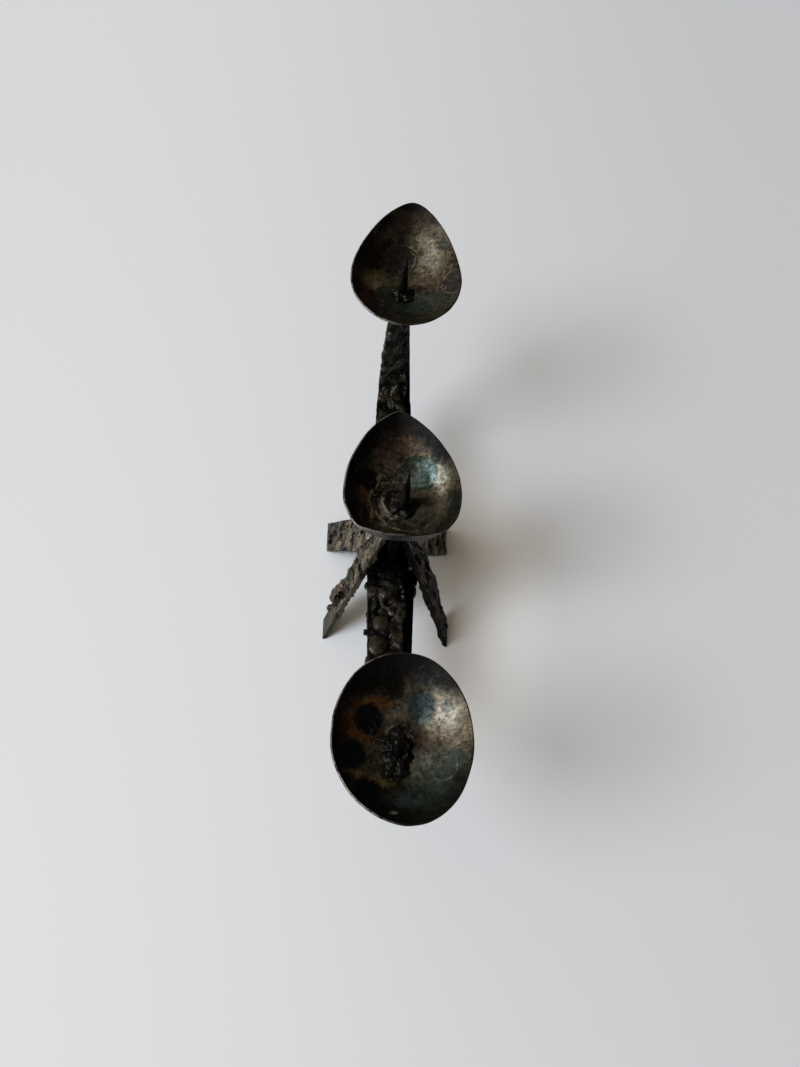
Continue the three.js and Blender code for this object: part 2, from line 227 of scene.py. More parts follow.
# %% Window and room
WINDOW = {
    # Direction towards each half of the window, and its strength.
    "window_high": ((-0.645, -0.22, 0.73), 1.55),
    "window_low": ((-0.80, -0.26, 0.53), 0.88),
}
WINDOW_ANGLE = math.radians(29.0)
WINDOW_COLOUR = (0.915, 0.965, 1.0)
ROOM_LEFT, COLOUR_LEFT = 0.80, (1.0, 0.86, 0.67)
ROOM_RIGHT, COLOUR_RIGHT = 0.07, (1.0, 0.80, 0.54)
ROOM_TURNS = (0.55, -0.9)

for name, (side, strength) in WINDOW.items():
    lamp = new_object(name, bpy.data.lights.new(name, "SUN"))
    lamp.data.angle = WINDOW_ANGLE
    lamp.data.energy = strength
    lamp.data.color = WINDOW_COLOUR
    lamp.matrix_world = Vector(side).to_track_quat("Z", "Y").to_matrix().to_4x4()

room = bpy.data.worlds.new("room")
room.use_nodes = True
room.node_tree.nodes.clear()
bpy.context.scene.world = room
side, _, _ = read(room.node_tree, "ShaderNodeTexCoord", output="Generated").parts()
leftward = side.smooth(*ROOM_TURNS)
brightness = leftward * (ROOM_LEFT - ROOM_RIGHT) + ROOM_RIGHT
channels = [leftward * (left - right) + right for left, right in zip(COLOUR_LEFT, COLOUR_RIGHT)]
warmth = joined(*channels)
sky = add(room.node_tree, "ShaderNodeBackground", {"Color": warmth, "Strength": brightness})
add(room.node_tree, "ShaderNodeOutputWorld", {"Surface": sky.outputs[0]})
bpy.context.scene.view_settings.view_transform = "Standard"

# %% [markdown]
# ## The table
#
# A plain painted top, white and a little cooler on the window side. The slow change of tone across
# it, lighter near the window and darker away from it, is painted light falloff from the window. It
# is in the top's colour, so it stays where it is from any view. The patch beside the object is
# painted bounce light: a little lighter and warmer, like a top that gets light back from the room.
# Faint specks keep it from looking like an empty background.

# %% Table, with places in millimetres and sizes in metres
TABLE_SIZE = 12.0
TABLE_LEFT = (0.870, 0.910, 0.990, 1)
TABLE_RIGHT = (0.690, 0.728, 0.808, 1)
TABLE_ACROSS = (-330, 420)
TABLE_AWAY = (-350, 700)
TABLE_NEAR = 1.03
TABLE_FAR = 0.955
GLOW_AT = (60.0, -15.0)
GLOW_REACH = (80.0, 150.0)
GLOW_TINT = (1.13, 1.10, 1.05)
SPECK_SPACING = 60
SPECK_STRENGTH = 0.12
SPECK_COLOUR = (0.4, 0.38, 0.35, 1)
TABLE_ROUGHNESS = 0.6
GRAIN_SIZE, GRAIN_DEPTH = 0.7, 0.02


def new_material(name):
    """A material with an empty Principled shader, and the nodes to plug into."""
    made = bpy.data.materials.new(name)
    made.use_nodes = True
    made.node_tree.nodes.clear()
    shader = add(made.node_tree, "ShaderNodeBsdfPrincipled")
    add(made.node_tree, "ShaderNodeOutputMaterial", {"Surface": shader.outputs[0]})
    return made, made.node_tree, shader


def object_place(tree, origin=(0, 0, 0)):
    """Object coordinates in millimetres, from a point given in millimetres."""
    here = read(tree, "ShaderNodeTexCoord", output="Object")
    moved = {"Vector": here, "Scale": (1 / MM,) * 3, "Location": [-x for x in origin]}
    return read(tree, "ShaderNodeMapping", moved)


def finish_shader(shader, colour, roughness, height, depth, relief=1.0, shine=None):
    """Plugs what varies over a surface. Depth is how deep its bumps look, in millimetres."""
    raised = {"Height": height, "Distance": depth * MM, "Strength": relief}
    plug(shader.inputs["Normal"], read(height.tree, "ShaderNodeBump", raised))
    plug(shader.inputs["Base Color"], colour)
    plug(shader.inputs["Roughness"], roughness)
    if shine is not None:
        shader.inputs["Specular IOR Level"].default_value = shine


table_paint, tree, shader = new_material("table_paint")
place = object_place(tree)
across, away, _ = place.parts()
# Painted light falloff: lighter and cooler towards the window, and darker towards the far side.
tone = blend(across.smooth(*TABLE_ACROSS), TABLE_LEFT, TABLE_RIGHT)
tone = tone.times(away.smooth(*TABLE_AWAY) * (TABLE_FAR - TABLE_NEAR) + TABLE_NEAR)
# Painted bounce light: a lighter, warmer oval beside the object, where its shadow falls.
off_x, off_y = (across - GLOW_AT[0]) / GLOW_REACH[0], (away - GLOW_AT[1]) / GLOW_REACH[1]
painted_bounce_light = (off_x * off_x + off_y * off_y).smooth(1.0, 0.1)
tone = blend(painted_bounce_light, tone, tone.vector("MULTIPLY", {1: GLOW_TINT}))
specks = place.cells(SPECK_SPACING)[0].smooth(0.012, 0.006) * SPECK_STRENGTH
tone = blend(specks, tone, SPECK_COLOUR)
finish_shader(shader, tone, TABLE_ROUGHNESS, place.noise(GRAIN_SIZE), GRAIN_DEPTH)

flat = bmesh.new()
bmesh.ops.create_grid(flat, x_segments=1, y_segments=1, size=TABLE_SIZE / 2)
table_top = mesh_object("table", flat)
table_top.data.materials.append(table_paint)
print("table of", TABLE_SIZE, "metres")

# %% [markdown]
# ## Turning a tree or a modifier into a plain mesh
#
# A tree gets named inputs, so one recipe serves several pieces. Each input is set on the modifier
# by its identifier before the object is first evaluated. The result is then copied out as a plain
# mesh and the modifier is removed, which leaves nothing live when the piece joins the frame.

# %% Geometry Nodes helpers
SOCKETS = {float: "NodeSocketFloat", int: "NodeSocketInt", tuple: "NodeSocketVector"}


def new_tree(name, inputs):
    """A Geometry Nodes tree, a function that gives each input as a field, and its output node."""
    tree = bpy.data.node_groups.new(name, "GeometryNodeTree")
    face = tree.interface
    face.new_socket("Geometry", in_out="INPUT", socket_type="NodeSocketGeometry")
    for label, value in inputs.items():
        made = face.new_socket(label, in_out="INPUT", socket_type=SOCKETS[type(value)])
        made.default_value = value
    face.new_socket("Material", in_out="INPUT", socket_type="NodeSocketMaterial")
    face.new_socket("Geometry", in_out="OUTPUT", socket_type="NodeSocketGeometry")
    start = tree.nodes.new("NodeGroupInput")
    end = tree.nodes.new("NodeGroupOutput")
    return tree, lambda label: Field(start.outputs[label]), end


def finish_tree(tree, geometry, material, end):
    """Smooth faces, real instances and a material, which is how every tree here ends."""
    smooth = read(tree, "GeometryNodeSetShadeSmooth", {"Geometry": geometry})
    real = read(tree, "GeometryNodeRealizeInstances", {"Geometry": smooth})
    inputs = {"Geometry": real, "Material": material}
    plug(end.inputs[0], read(tree, "GeometryNodeSetMaterial", inputs))


def set_place(geometry, **moves):
    """Moves points: Position says where to, and Offset by how much."""
    return read(geometry.tree, "GeometryNodeSetPosition", {"Geometry": geometry, **moves})


def store(geometry, name, value):
    inputs = {"Geometry": geometry, "Name": name, "Value": value}
    kind = {"data_type": "FLOAT", "domain": "POINT"}
    return read(geometry.tree, "GeometryNodeStoreNamedAttribute", inputs, **kind)


def where(tree):
    """Where each point is, in metres."""
    return read(tree, "GeometryNodeInputPosition")


def settle(piece):
    """Makes a piece with modifiers a plain mesh."""
    bpy.context.view_layer.update()
    graph = bpy.context.evaluated_depsgraph_get()
    mesh = bpy.data.meshes.new_from_object(
        piece.evaluated_get(graph), preserve_all_data_layers=True, depsgraph=graph
    )
    piece.modifiers.clear()
    piece.data = mesh
    mesh.name = piece.name
    return piece


def grow(piece, tree, material, values=None):
    """Runs a tree on a piece with some of its inputs set."""
    modifier = piece.modifiers.new(tree.name, "NODES")
    modifier.node_group = tree
    values = {"Material": material, **(values or {})}
    for item in tree.interface.items_tree:
        if item.in_out == "INPUT" and item.name in values:
            modifier[item.identifier] = values[item.name]
    return settle(piece)


def faces_outward(piece):
    """Turns a closed mesh right side out if its volume is negative, and prints its size."""
    mesh = bmesh.new()
    mesh.from_mesh(piece.data)
    volume = mesh.calc_volume(signed=True)
    if volume < 0:
        bmesh.ops.reverse_faces(mesh, faces=mesh.faces)
        mesh.to_mesh(piece.data)
    open_edges = sum(1 for edge in mesh.edges if not edge.is_manifold)
    print(f"{piece.name}: {sum(len(f.verts) - 2 for f in mesh.faces)} triangles, "
          f"{abs(volume) * 1e6:.2f} cm3, open edges {open_edges}")
    mesh.free()


def place_piece(piece, slot, *nodes):
    """Joins a finished piece to the frame in place of its solids."""
    faces_outward(piece)
    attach(piece, "root")
    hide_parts(*nodes)


# %% [markdown]
# ## The beaten pans
#
# A pan starts as flat sheet and is beaten into a hollow, so it has one pointed end, no true circle
# anywhere, and the marks of the hammer. It could be sculpted, but its outline and section follow a
# rule, so a tree makes it: a flat grid is wrapped round the pan's lowest point, with one direction
# of the grid as the turn and the other as the way out to the rim. The outline is a superellipse
# whose powers differ between the pointed tip and the blunt heel. Noise then moves the sheet up and
# down, and Voronoi cells leave shallow dents. Solidify gives the sheet its thickness afterwards, so
# that a dent inside is a bump outside, as in real sheet.

# %% Pan sizes, in millimetres, as the solids have them
SHEET = 1.5
DEPTH = 15.0
PAN_SIZES = {
    # The back, centre and front pans.
    "Tip Side": (1, 1, -1),
    "Middle X": (0.2, 0.3, 1.3),
    "Middle Y": (154, -12, -175),
    "Rim Height": (172.5, 162.5, 170),
    "Low X": (-1.2, 2, -1.8),
    "Low Y": (-4.3, -2.6, -3.5),
    "Half Width": (39, 38, 41),
    "Tip Length": (68, 61.5, 47),
    "Heel Length": (42, 33, 53),
    "Tip Lean": (4.5, -3, 4),
    "Tip Roundness": (1.5, 1.3, 2.05),
    "Shoulder Fullness": (1.6, 1.95, 1.8),
    "Heel Fullness": (2.1, 2.9, 2.2),
    "Tip Wall": (2, 2.1, 2.2),
    "Heel Wall": (2.2, 7, 2.2),
    "Tuck": (0, 2.6, 0),
    "Seed": (3, 11, 19),
}
PANS = {
    name: {label: float(row[number]) for label, row in PAN_SIZES.items()}
    for number, name in enumerate(("back", "centre", "front"))
}


def low_point(name):
    """Lowest point of a pan's outer face, in millimetres."""
    sizes = PANS[name]
    return Vector((sizes["Middle X"] + sizes["Low X"], sizes["Middle Y"] + sizes["Low Y"],
                   sizes["Rim Height"] - DEPTH))


LOWS = {name: low_point(name) for name in PANS}
print("lowest points:", {name: tuple(round(x, 1) for x in low) for name, low in LOWS.items()})

# %% The pan tree
TURNS = 220
RINGS = 64
SEAM_GAP = 0.008
HAMMER = {
    "Depth": DEPTH, "Blunt Tip": 0.30, "Rim Wobble": 0.014, "Flutter": 1.0, "Dent Size": 11.0,
    "Dent Depth": 0.28,
}


def pan_tree():
    tree, ask, end = new_tree("beaten_pan", {**PANS["front"], **HAMMER})
    sides = {"Size X": 1.0, "Size Y": 1.0, "Vertices X": TURNS + 1, "Vertices Y": RINGS + 1}
    grid = read(tree, "GeometryNodeMeshGrid", sides)
    u, v, _ = where(tree).parts()
    turn = (u + 0.5) * ask("Tip Side") * (-2 * math.pi)
    reach = v + 0.5
    across, along = turn.math("COSINE"), turn.math("SINE")
    on_tip = along.math("GREATER_THAN", 0.0)

    def choose(on_heel, at_tip):
        return on_tip * (at_tip - on_heel) + on_heel

    def from_low(name, rim):
        """From the lowest point at reach 0 to the rim at reach 1."""
        return ask("Middle " + name) + ask("Low " + name) * (1.0 - reach) + rim * reach

    heel_power = 2.0 / ask("Heel Fullness")
    tip_power = 2.0 / ask("Tip Roundness")
    shoulder_power = on_tip * (2.0 / ask("Shoulder Fullness") - 1.0) + 1.0
    share = along.math("ABSOLUTE").math("POWER", shoulder_power) * along.math("SIGN")
    rounding = ask("Blunt Tip").math("POWER", 2.0) * along.smooth(0.0, 0.9)
    blunt = across.math("POWER", 2.0) + rounding
    spread = across * blunt.math("POWER", (choose(heel_power, tip_power) - 1.0) * 0.5)
    round_place = joined(across, along, ask("Seed")).times(1.3)
    wobble = (round_place.noise(1.0, detail=1.0) - 0.5) * ask("Rim Wobble") * 2.0 + 1.0
    rim_x = (spread * ask("Half Width") + on_tip * ask("Tip Lean") * share * share) * wobble
    rim_y = share * choose(ask("Heel Length"), ask("Tip Length")) * wobble
    tucked = ask("Tuck") * reach.smooth(0.86, 1.0) * along.smooth(-0.72, -0.97)
    wall = (1.0 - along) * 0.5 * (ask("Heel Wall") - ask("Tip Wall")) + ask("Tip Wall")
    x = from_low("X", rim_x)
    y = from_low("Y", (rim_y + tucked) * ask("Tip Side"))
    z = ask("Rim Height") - ask("Depth") + reach.math("POWER", wall) * ask("Depth")
    kept = add(tree, "GeometryNodeCaptureAttribute", {"Geometry": grid})
    kept.capture_items.new("FLOAT", "reach")
    plug(kept.inputs[1], reach)
    shaped = set_place(Field(kept.outputs[0]), Position=joined(x, y, z).times(MM))
    marked = store(shaped, "reach", kept.outputs[1])
    gap = {"Geometry": marked, "Distance": SEAM_GAP * MM}
    sewn = read(tree, "GeometryNodeMergeByDistance", gap)

    seeded = where(tree).times(1 / MM).plus(joined(ask("Seed") * 37.0, 0.0, 0.0))
    slow = (seeded.noise(30.0, detail=1.0) - 0.5) * 2.0 * ask("Flutter")
    pushed, closeness = seeded.warped(12.0, 5.0), 1.0 / ask("Dent Size")
    dents = {"Vector": pushed, "Scale": closeness, "Smoothness": 0.35}
    dent = read(tree, "ShaderNodeTexVoronoi", dents, "Distance", feature="SMOOTH_F1")
    lift = slow + (dent.smooth(0.05, 0.7) - 0.6) * ask("Dent Depth")
    beaten = set_place(sewn, Offset=read(tree, "GeometryNodeInputNormal").times(lift * MM))
    finish_tree(tree, beaten, ask("Material"), end)
    return tree


beaten_pan = pan_tree()
print("pan tree:", len(beaten_pan.nodes), "nodes")

# %% [markdown]
# ## The colours that heat leaves on steel
#
# Where a torch has touched thin sheet, the oxide grows in rings: straw, amber, bronze, purple and
# then blue or teal in the middle, with grey scale between the spots. Each pan's spots are given by
# their places on the sheet, in millimetres from its lowest point. Some spots also paint light:
# highlights and glints on the right walls, shade on the left walls, and the shadows of the
# spikes. A point's depth inside the nearest spot drives the colours, and noise pushes the points
# about first, so the rings are uneven. Painting an image would be quicker, but a formula stays
# sharp at any size.

# %% Colours of the sheet
# Tan and ash are oxide colours that are also used to paint the window's highlights.
TAN_AND_HIGHLIGHT = (0.150, 0.128, 0.092, 1)
DULL_TAN = (0.090, 0.078, 0.054, 1)
PINK_BROWN = (0.085, 0.060, 0.048, 1)
SCALE_BROWN = (0.026, 0.020, 0.015, 1)
OLIVE = (0.060, 0.056, 0.040, 1)
STRAW = (0.200, 0.150, 0.070, 1)
AMBER = (0.125, 0.058, 0.018, 1)
BRONZE = (0.052, 0.028, 0.019, 1)
SLATE = (0.019, 0.029, 0.034, 1)
PALE_SLATE = (0.052, 0.062, 0.062, 1)
DARK_TEAL = (0.016, 0.030, 0.029, 1)
TEAL = (0.034, 0.062, 0.060, 1)
# Pale teal, also used to paint glints.
ICE_AND_GLINT = (0.160, 0.205, 0.200, 1)
VIOLET_GREY = (0.028, 0.024, 0.028, 1)
ASH_AND_HIGHLIGHT = (0.250, 0.240, 0.205, 1)
BLUE_BLACK = (0.006, 0.008, 0.011, 1)
RUST = (0.095, 0.034, 0.018, 1)
CREAM_LINE = (0.230, 0.195, 0.120, 1)
# Near black: soot and scale, and also used to paint shade.
SOOT_AND_SHADE = (0.004, 0.0035, 0.0035, 1)
UNDERSIDE = (0.052, 0.051, 0.054, 1)
# Pale lip: a little real wear, and painted highlight where the window lights the left lip.
WORN_AND_LIT_EDGE = (0.260, 0.255, 0.245, 1)
SHEET_METALLIC = 0.78


def stored(tree, name):
    return read(tree, "ShaderNodeAttribute", output="Fac", attribute_name=name)


def spot_depth(place, x, y, half_x, half_y):
    """How far inside an oval a point is, in millimetres. It is below zero outside."""
    oval = {"Vector": place, "Scale": (1 / half_x, 1 / half_y, 0),
            "Location": (-x / half_x, -y / half_y, 0)}
    away = read(place.tree, "ShaderNodeMapping", oval).vector("LENGTH", output="Value")
    return (1.0 - away) * min(half_x, half_y)


def tint(colour, depth, core, softness, strength, halo=None, halo_width=0.0):
    """One spot over the colour so far: a core, with a halo outside it. Spots are heat tints, and
    some are painted light.
    """
    if halo:
        ring = depth.smooth(-halo_width, 0.4) * (0.7 * strength)
        colour = blend(ring, colour, halo)
    return blend(depth.smooth(-softness, softness) * strength, colour, core)


def tinted_sheet(name, spots, lines, rim, veins, seed):
    """Heat-tinted sheet. A spot is (x, y, half x, half y, core, softness, strength, halo, width).
    A line is (x, y, half x, half y, width, colour, strength, near x, near y, reach): it follows
    the oval's edge and shows only within reach of the near point. Rim is (start, end, strength) of
    the painted shade that darkens the far rim; the left walls and the rest of the rim band get
    painted shade too. Veins is (x, y, half x, half y) of the crazed film."""
    material, tree, shader = new_material(f"tinted_sheet_{name}")
    place = object_place(tree, LOWS[name])
    seeded = place.plus((seed * 31.0, seed * 17.0, 0.0))
    uneven = place.plus(seeded.push(7.0, 4.2, detail=4.0, roughness=0.6))
    cloud = seeded.noise(15.0, 5.0, 0.62)
    mottle = seeded.plus((91.0, 5.0, 0.0)).noise(4.5, 5.0, 0.68)
    colour = blend((cloud * 0.6 + mottle * 0.4).smooth(0.38, 0.62), SOOT_AND_SHADE, SCALE_BROWN)
    olive_share = seeded.plus((0.0, 53.0, 0.0)).noise(13.0, 4.0)
    colour = blend(olive_share.smooth(0.46, 0.62) * 0.8, colour, OLIVE)
    for x, y, half_x, half_y, core, softness, strength, *halo in spots:
        depth = spot_depth(uneven, x, y, half_x, half_y) + (mottle - 0.5) * (1.5 + softness * 3.6)
        colour = tint(colour, depth, core, softness, strength, *halo)
    broken = mottle.smooth(0.38, 0.56)
    for *oval, width, line_colour, strength, near_x, near_y, reach in lines:
        near = spot_depth(place, near_x, near_y, reach, reach).smooth(0.0, reach * 0.5)
        line = spot_depth(uneven, *oval).math("ABSOLUTE").smooth(width, width * 0.25)
        colour = blend(line * broken * near * strength, colour, line_colour)
    crazed = seeded.warped(5.0, 3.0).noise(5.5, 3.0, 0.6)
    vein = (crazed - 0.5).math("ABSOLUTE").smooth(0.020, 0.004)
    near_slag = spot_depth(uneven, *veins).smooth(-1.0, 5.0) * mottle.smooth(0.36, 0.55)
    colour = blend(vein * near_slag * 0.55, colour, ASH_AND_HIGHLIGHT)
    grit = seeded.noise(2.6, 5.0, 0.66)
    colour = colour.times(grit.smooth(0.30, 0.70) * 0.95 + 0.48)
    soot = seeded.plus((0.0, 0.0, 40.0)).noise(5.0, 5.0, 0.68)
    colour = blend(soot.smooth(0.52, 0.64) * 0.6, colour, SOOT_AND_SHADE)
    pits, _ = seeded.warped(2.0, 1.2).cells(2.3)
    colour = blend(pits.smooth(0.17, 0.08) * 0.6, colour, SOOT_AND_SHADE)
    reach = stored(tree, "reach")
    aside, away, _ = place.parts()
    # Painted shade: darker towards the far rim and the left wall, and a little all round the rim
    # band.
    painted_rim_shade = away.smooth(rim[0], rim[1]) * rim[2] + aside.smooth(-12.0, -32.0) * 0.4 + 0.12
    painted_rim_shade = painted_rim_shade * (reach + (mottle - 0.5) * 0.5).smooth(0.66, 0.95)
    colour = blend(painted_rim_shade, colour, SOOT_AND_SHADE)
    _, _, up = read(tree, "ShaderNodeTexCoord", output="Normal").parts()
    outside = blend(mottle.smooth(0.35, 0.65), SCALE_BROWN, UNDERSIDE)
    colour = blend(up.smooth(0.05, -0.15), colour, outside)
    # Lighter lip: painted highlight on the left lip, which faces the window, over a little real
    # wear all round.
    edge = reach.smooth(0.990, 0.999) * mottle.smooth(0.36, 0.56)
    colour = blend(edge * (aside.smooth(8.0, -22.0) * 0.6 + 0.05), colour, WORN_AND_LIT_EDGE)
    roughness = cloud * 0.14 + mottle * 0.34 + painted_rim_shade * 0.15 + 0.10
    height = seeded.noise(0.8, 3.0) * 0.2 + mottle * 2.0 + grit * 0.4
    height = height - pits.smooth(0.25, 0.0) * 0.8
    finish_shader(shader, colour, roughness, height, depth=0.20, relief=0.8, shine=0.3)
    shader.inputs["Metallic"].default_value = SHEET_METALLIC
    return material


# %% Heat spots, painted highlights and painted shade of the three pans
FRONT_SPOTS = [
    # The first tan and ash spots paint the window's highlight on the right wall, over tan oxide.
    (20, 12, 25, 34, OLIVE, 11, 0.85), (29.5, 17, 12, 18, TAN_AND_HIGHLIGHT, 6, 0.85),
    (28, 17, 6, 9, ASH_AND_HIGHLIGHT, 3, 0.55), (18, 6, 14, 6, PINK_BROWN, 5, 0.65),
    (19, 3, 11, 4, SCALE_BROWN, 3.5, 0.4), (3.5, 33, 4.5, 11, DULL_TAN, 3.5, 0.75),
    (-5, 24, 5, 5, DULL_TAN, 3, 0.5), (24, -12, 18, 16, TEAL, 6, 0.45),
    (14, -31, 24, 12, DARK_TEAL, 5, 0.85), (34, -26, 12, 18, SOOT_AND_SHADE, 6, 0.8),
    (4, -40, 28, 9, SOOT_AND_SHADE, 4, 0.9), (4.5, -27.5, 9, 4, TEAL, 2, 0.5), (25, -17, 6, 7, TEAL, 3, 0.5),
    (9, -5.5, 9, 8, ASH_AND_HIGHLIGHT, 5, 0.2), (-14, -3, 9, 14, DULL_TAN, 5, 0.45),
    (-26, 14, 10, 13, AMBER, 5, 0.55), (-13, -17.2, 8.5, 2.6, STRAW, 1.8, 1),
    # The soot spot at the left rim paints the shade of the left wall.
    (-24, 7.5, 5, 4, AMBER, 2, 0.8), (-37, -8, 8, 28, SOOT_AND_SHADE, 4, 0.9),
    (-25, -13.5, 5, 2, STRAW, 1.6, 0.9), (-12, 28.5, 9, 3, AMBER, 1.8, 0.9),
    (-16.8, 18.3, 8.8, 8.8, BLUE_BLACK, 1.1, 1, AMBER, 3.2),
    (-26.5, -2.8, 8, 8.4, BLUE_BLACK, 1.2, 1, BRONZE, 2.6),
    (-17.1, -24.2, 8.2, 8.2, BLUE_BLACK, 1.3, 1, BRONZE, 2.4),
    # The wide soot spot at the far left paints the shade of the far left wall.
    (-1.7, 37.2, 5.6, 6.4, SOOT_AND_SHADE, 1.4, 0.9), (-18, 47, 24, 14, SOOT_AND_SHADE, 3, 0.95),
    # The ice spot on the slate spot paints a glint over pale teal oxide.
    (12.9, 27, 7.6, 9.7, SLATE, 1, 1, BRONZE, 2), (16, 20, 3.6, 4.2, ICE_AND_GLINT, 2.4, 0.4),
    (15, 44.9, 8.6, 5.8, SLATE, 1.6, 0.8, BRONZE, 1.6), (23.4, 43, 0.8, 0.9, AMBER, 0.7, 0.7),
    (27.3, 27.2, 3.4, 4.1, SLATE, 0.7, 0.7), (32.8, -3.2, 6.6, 5.6, TEAL, 0.9, 0.6, OLIVE, 1.2),
    (33, -4, 3.4, 3.4, PALE_SLATE, 2.2, 0.4), (22.5, 10.5, 1.1, 4.4, RUST, 0.8, 0.6),
    (12.5, 7.5, 2.6, 2, AMBER, 1.2, 0.7), (2.5, 9, 12, 10, SOOT_AND_SHADE, 3.5, 0.85),
    # The small ash spot near the tip paints a glint.
    (-1, -7, 7.5, 12, SOOT_AND_SHADE, 3.5, 0.85), (-1.4, -35.7, 2, 0.9, ASH_AND_HIGHLIGHT, 0.4, 0.9),
    (-4.4, 55.6, 2.2, 3.4, DULL_TAN, 0.6, 0.9),
]
FRONT_LINES = [
    (27.3, 27.2, 3.9, 4.6, 0.6, ASH_AND_HIGHLIGHT, 0.7, 29, 24, 6),
    (32.8, -3.2, 6.8, 5.8, 0.5, TAN_AND_HIGHLIGHT, 0.8, 38, 0, 8), (25.5, -5, 8, 11, 0.6, ASH_AND_HIGHLIGHT, 0.5, 29, -12, 9),
    (-2.3, 11, 4.4, 4.4, 0.8, ASH_AND_HIGHLIGHT, 0.5, -2, 12, 8),
]
CENTRE_SPOTS = [
    # The first tan and ash spots paint the window's highlight on the right wall, over tan oxide.
    (19, 16, 23, 24, OLIVE, 10, 0.85), (25, 22.5, 10.5, 15, TAN_AND_HIGHLIGHT, 7, 0.72),
    (25, 22, 4.2, 7, ASH_AND_HIGHLIGHT, 3, 0.55), (4, -15, 30, 9, OLIVE, 6, 0.2), (-2, 41, 15, 8, BRONZE, 6, 0.7),
    (-14.2, 30.6, 6, 10, BRONZE, 4, 0.7), (31.5, 2.1, 4.8, 6.4, SLATE, 2.2, 0.7),
    (8.5, 23.8, 13.2, 12.9, DARK_TEAL, 0.9, 0.9, STRAW, 1.4),
    # The ice spots on the teal spot paint glints over pale teal oxide.
    (13.4, 22.5, 8.4, 9.5, TEAL, 3.5, 0.85), (6.5, 19.5, 7, 5.5, ICE_AND_GLINT, 2.4, 0.6),
    (12, 28, 5.4, 3.6, ICE_AND_GLINT, 2.2, 0.45), (18.6, 19.5, 3, 4.8, ICE_AND_GLINT, 1.6, 0.7),
    (15, 22, 1.6, 4.5, DARK_TEAL, 1, 0.7), (-2, 26, 5, 10, SOOT_AND_SHADE, 3.5, 0.5),
    (-24.3, 17.8, 7.4, 7.6, SOOT_AND_SHADE, 1, 0.95), (-27.6, 8.6, 2.2, 3.4, AMBER, 1, 1),
    (-24.4, 3, 1.2, 4.8, AMBER, 0.7, 0.9), (-20.8, -4.5, 1.1, 5.5, STRAW, 0.7, 0.8),
    (-13.6, 1.5, 1.5, 7, ASH_AND_HIGHLIGHT, 1.9, 0.5), (-10.5, -6.5, 4, 1.6, ASH_AND_HIGHLIGHT, 1.8, 0.4),
    # The long soot spot right of the spike paints the spike's shadow.
    (-5, 4, 7.4, 8.8, SOOT_AND_SHADE, 1.5, 0.95), (9, 4, 10, 3.4, SOOT_AND_SHADE, 2, 0.85),
    (12, -3, 9, 4, DULL_TAN, 3, 0.25),
]
CENTRE_LINES = [
    (8.5, 23.8, 13.6, 13.3, 0.7, CREAM_LINE, 0.35, 0.5, 34, 13),
    (8.5, 23.8, 13.4, 13.1, 0.6, CREAM_LINE, 0.8, 21.8, 22, 9),
    (-24.3, 17.8, 7.8, 8, 0.6, CREAM_LINE, 0.9, -17, 15, 8),
    (-5, 4, 8.8, 10.6, 1.2, ASH_AND_HIGHLIGHT, 2, -12, -2, 12), (-5, 4, 11.2, 13.2, 0.7, ASH_AND_HIGHLIGHT, 1.2, -13, -4, 11),
    (2, 4, 22, 21.5, 0.9, TAN_AND_HIGHLIGHT, 2.4, -11, -14, 16), (2, 4, 22, 21.5, 0.8, DULL_TAN, 2, 10, -17, 14),
    (-18.5, 3, 4, 12, 0.6, STRAW, 1.4, -21.5, 4, 9),
    (-16, 27, 3.6, 4.6, 0.6, PINK_BROWN, 1.8, -15, 30, 9),
    (-14, 35, 4.4, 3.6, 0.6, PINK_BROWN, 1.8, -14, 36, 9),
    (-15, 17, 3, 5, 0.5, TAN_AND_HIGHLIGHT, 1.4, -17, 20, 6), (-6, 42, 7, 5, 0.5, DULL_TAN, 1.2, -9, 46, 8),
]
